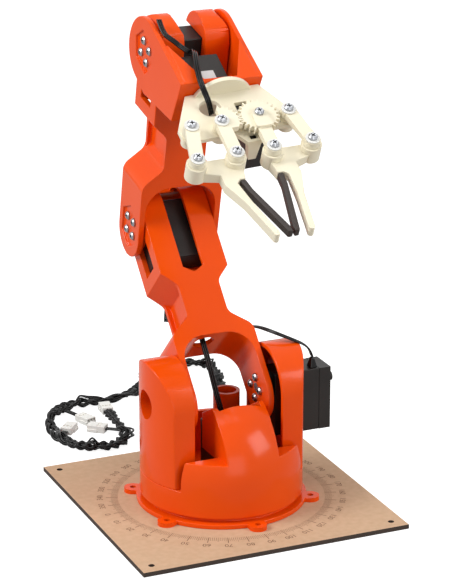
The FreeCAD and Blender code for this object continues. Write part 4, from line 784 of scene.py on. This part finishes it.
# %% Board with burnt edges
BOARD_EDGE, CUT_SIDE = 0.2 * MM, 0.9
shape = merged("base_board")
bmesh.ops.bevel(shape, geom=sharp_edges(shape), offset=BOARD_EDGE, offset_type="OFFSET", segments=1,
                profile=0.5, affect="EDGES", clamp_overlap=False, material=-1)
for face in shape.faces:
    face.material_index = 1 if abs(face.normal.z) < CUT_SIDE else 0
board = place_mesh("board_sheet", shape, [fibreboard, burnt], smooth=False)
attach(board, "base")
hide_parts("base_board")
BOARD_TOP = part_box("base_board")[1][2]
print("board top at", round(BOARD_TOP / MM, 2), "mm")

# %% Engraved strokes and numbers
ENGRAVED_LEVEL = BOARD_TOP + 0.04 * MM
STROKE_START, STROKE_ONE, STROKE_FIVE, STROKE_TEN = 67.0 * MM, 71.6 * MM, 73.0 * MM, 74.6 * MM
STROKE_WIDE, TEN_WIDE = 0.24 * MM, 0.5 * MM
NUMBER_REACH, NUMBER_SIZE = 78.4 * MM, 5.4 * MM


def stroke(shape, degree, start, stop, wide):
    """A flat strip along a radius of the dial."""
    made = bmesh.ops.create_grid(shape, x_segments=1, y_segments=1, size=0.5)["verts"]
    bmesh.ops.scale(shape, vec=(stop - start, wide, 1), verts=made)
    bmesh.ops.translate(shape, vec=((start + stop) / 2, 0, ENGRAVED_LEVEL), verts=made)
    bmesh.ops.rotate(shape, cent=(0, 0, 0), matrix=Matrix.Rotation(math.radians(degree), 3, "Z"), verts=made)


shape = bmesh.new()
for degree in range(360):
    if degree % 10 == 0:
        stroke(shape, degree, STROKE_START, STROKE_TEN, TEN_WIDE)
    else:
        stroke(shape, degree, STROKE_START, STROKE_FIVE if degree % 5 == 0 else STROKE_ONE, STROKE_WIDE)
dial = place_mesh("dial_strokes", shape, [engraved], smooth=False)
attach(dial, "base")
print("dial", len(dial.data.polygons), "strokes")

# %% Numbers on the dial
def number_mesh(label):
    """A number as a flat mesh about its own middle."""
    data = bpy.data.curves.new("number", "FONT")
    data.body = label
    data.size = NUMBER_SIZE
    data.align_x, data.align_y = "CENTER", "CENTER"
    text = bpy.data.objects.new("number", data)
    mesh = bpy.data.meshes.new_from_object(text)
    bpy.data.objects.remove(text)
    return mesh


numbers = bmesh.new()
for tens in range(0, 360, 10):
    mesh = number_mesh(str(tens))
    angle = math.radians(tens - 180)
    spot = Vector((math.cos(angle), math.sin(angle), 0)) * NUMBER_REACH + Vector((0, 0, ENGRAVED_LEVEL))
    mesh.transform(Matrix.Translation(spot) @ Matrix.Rotation(angle - math.pi / 2, 4, "Z"))
    numbers.from_mesh(mesh)
    bpy.data.meshes.remove(mesh)
dial_numbers = place_mesh("dial_numbers", numbers, [engraved], smooth=False)
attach(dial_numbers, "base")
print("numbers", len(dial_numbers.data.polygons), "faces")

# %% [markdown]
# ## Studio
# A white sweep, one soft key from the upper left, a weak fill from the right and an even white sky. The
# floor is lit as any pale floor, and only what the camera or a mirror sees of it is lifted to white, so it
# keeps the object's shadow.

# %% Floor and sky
def seen_directly(tree, mirrored=1.0):
    """One where a ray comes from the camera, and a share of it from a mirror or glass."""
    path = tree.nodes.new("ShaderNodeLightPath")
    total = path.outputs["Is Camera Ray"]
    for other in ("Is Glossy Ray", "Is Transmission Ray"):
        add = tree.nodes.new("ShaderNodeMath")
        add.operation = "MULTIPLY_ADD"
        add.inputs[1].default_value = mirrored
        tree.links.new(path.outputs[other], add.inputs[0])
        tree.links.new(total, add.inputs[2])
        total = add.outputs[0]
    return total


FLOOR_GREY, FLOOR_SEEN, FLOOR_MIRRORED, FLOOR_LEVEL = 0.45, 0.92, 0.2, -0.2 * MM
SKY_LIGHT, SKY_SEEN = 0.24, 1.0
floor_paint = bpy.data.materials.new("white_floor")
floor_paint.use_nodes = True
tree = floor_paint.node_tree
paint = tree.nodes["Principled BSDF"]
paint.inputs["Base Color"].default_value = (FLOOR_GREY, FLOOR_GREY, FLOOR_GREY, 1)
paint.inputs["Roughness"].default_value = 0.9
paint.inputs["Specular IOR Level"].default_value = 0.0
paint.inputs["Emission Color"].default_value = (1, 1, 1, 1)
lift = tree.nodes.new("ShaderNodeMath")
lift.operation = "MULTIPLY"
lift.inputs[1].default_value = FLOOR_SEEN
tree.links.new(seen_directly(tree, mirrored=FLOOR_MIRRORED), lift.inputs[0])
tree.links.new(lift.outputs[0], paint.inputs["Emission Strength"])
shape = bmesh.new()
bmesh.ops.create_grid(shape, x_segments=1, y_segments=1, size=4.0)
bmesh.ops.translate(shape, vec=(0, 0, FLOOR_LEVEL), verts=shape.verts)
floor = place_mesh("floor", shape, [floor_paint], smooth=False)

world = bpy.data.worlds.new("studio")
bpy.context.scene.world = world
world.use_nodes = True
sky = world.node_tree.nodes["Background"]
sky.inputs["Color"].default_value = (1, 1, 1, 1)
level = world.node_tree.nodes.new("ShaderNodeMapRange")
level.inputs["To Min"].default_value, level.inputs["To Max"].default_value = SKY_LIGHT, SKY_SEEN
world.node_tree.links.new(seen_directly(world.node_tree), level.inputs["Value"])
world.node_tree.links.new(level.outputs["Result"], sky.inputs["Strength"])
print("floor and sky")

# %% Lamps
LAMPS = {"key": ((-1.5, 0.1, 1.25), 27, 0.8), "fill": ((1.2, -1.3, 1.1), 18, 0.9),
         "front": ((-0.1, -1.7, 0.4), 4, 0.8), "top": ((0, -0.1, 1.9), 9, 1.0)}
MIDDLE = Vector((0, 0, 0.15))
for name, (spot, power, width) in LAMPS.items():
    light = bpy.data.lights.new(name, "AREA")
    light.energy = power
    light.size = width
    lamp = bpy.data.objects.new(name, light)
    lamp.location = spot
    lamp.rotation_euler = (Vector(spot) - MIDDLE).to_track_quat("Z", "Y").to_euler()
    bpy.context.scene.collection.objects.link(lamp)
bpy.context.scene.view_settings.view_transform = "Standard"
print(len(LAMPS), "lamps")

# %% [markdown]
# ## End


print("scene built")
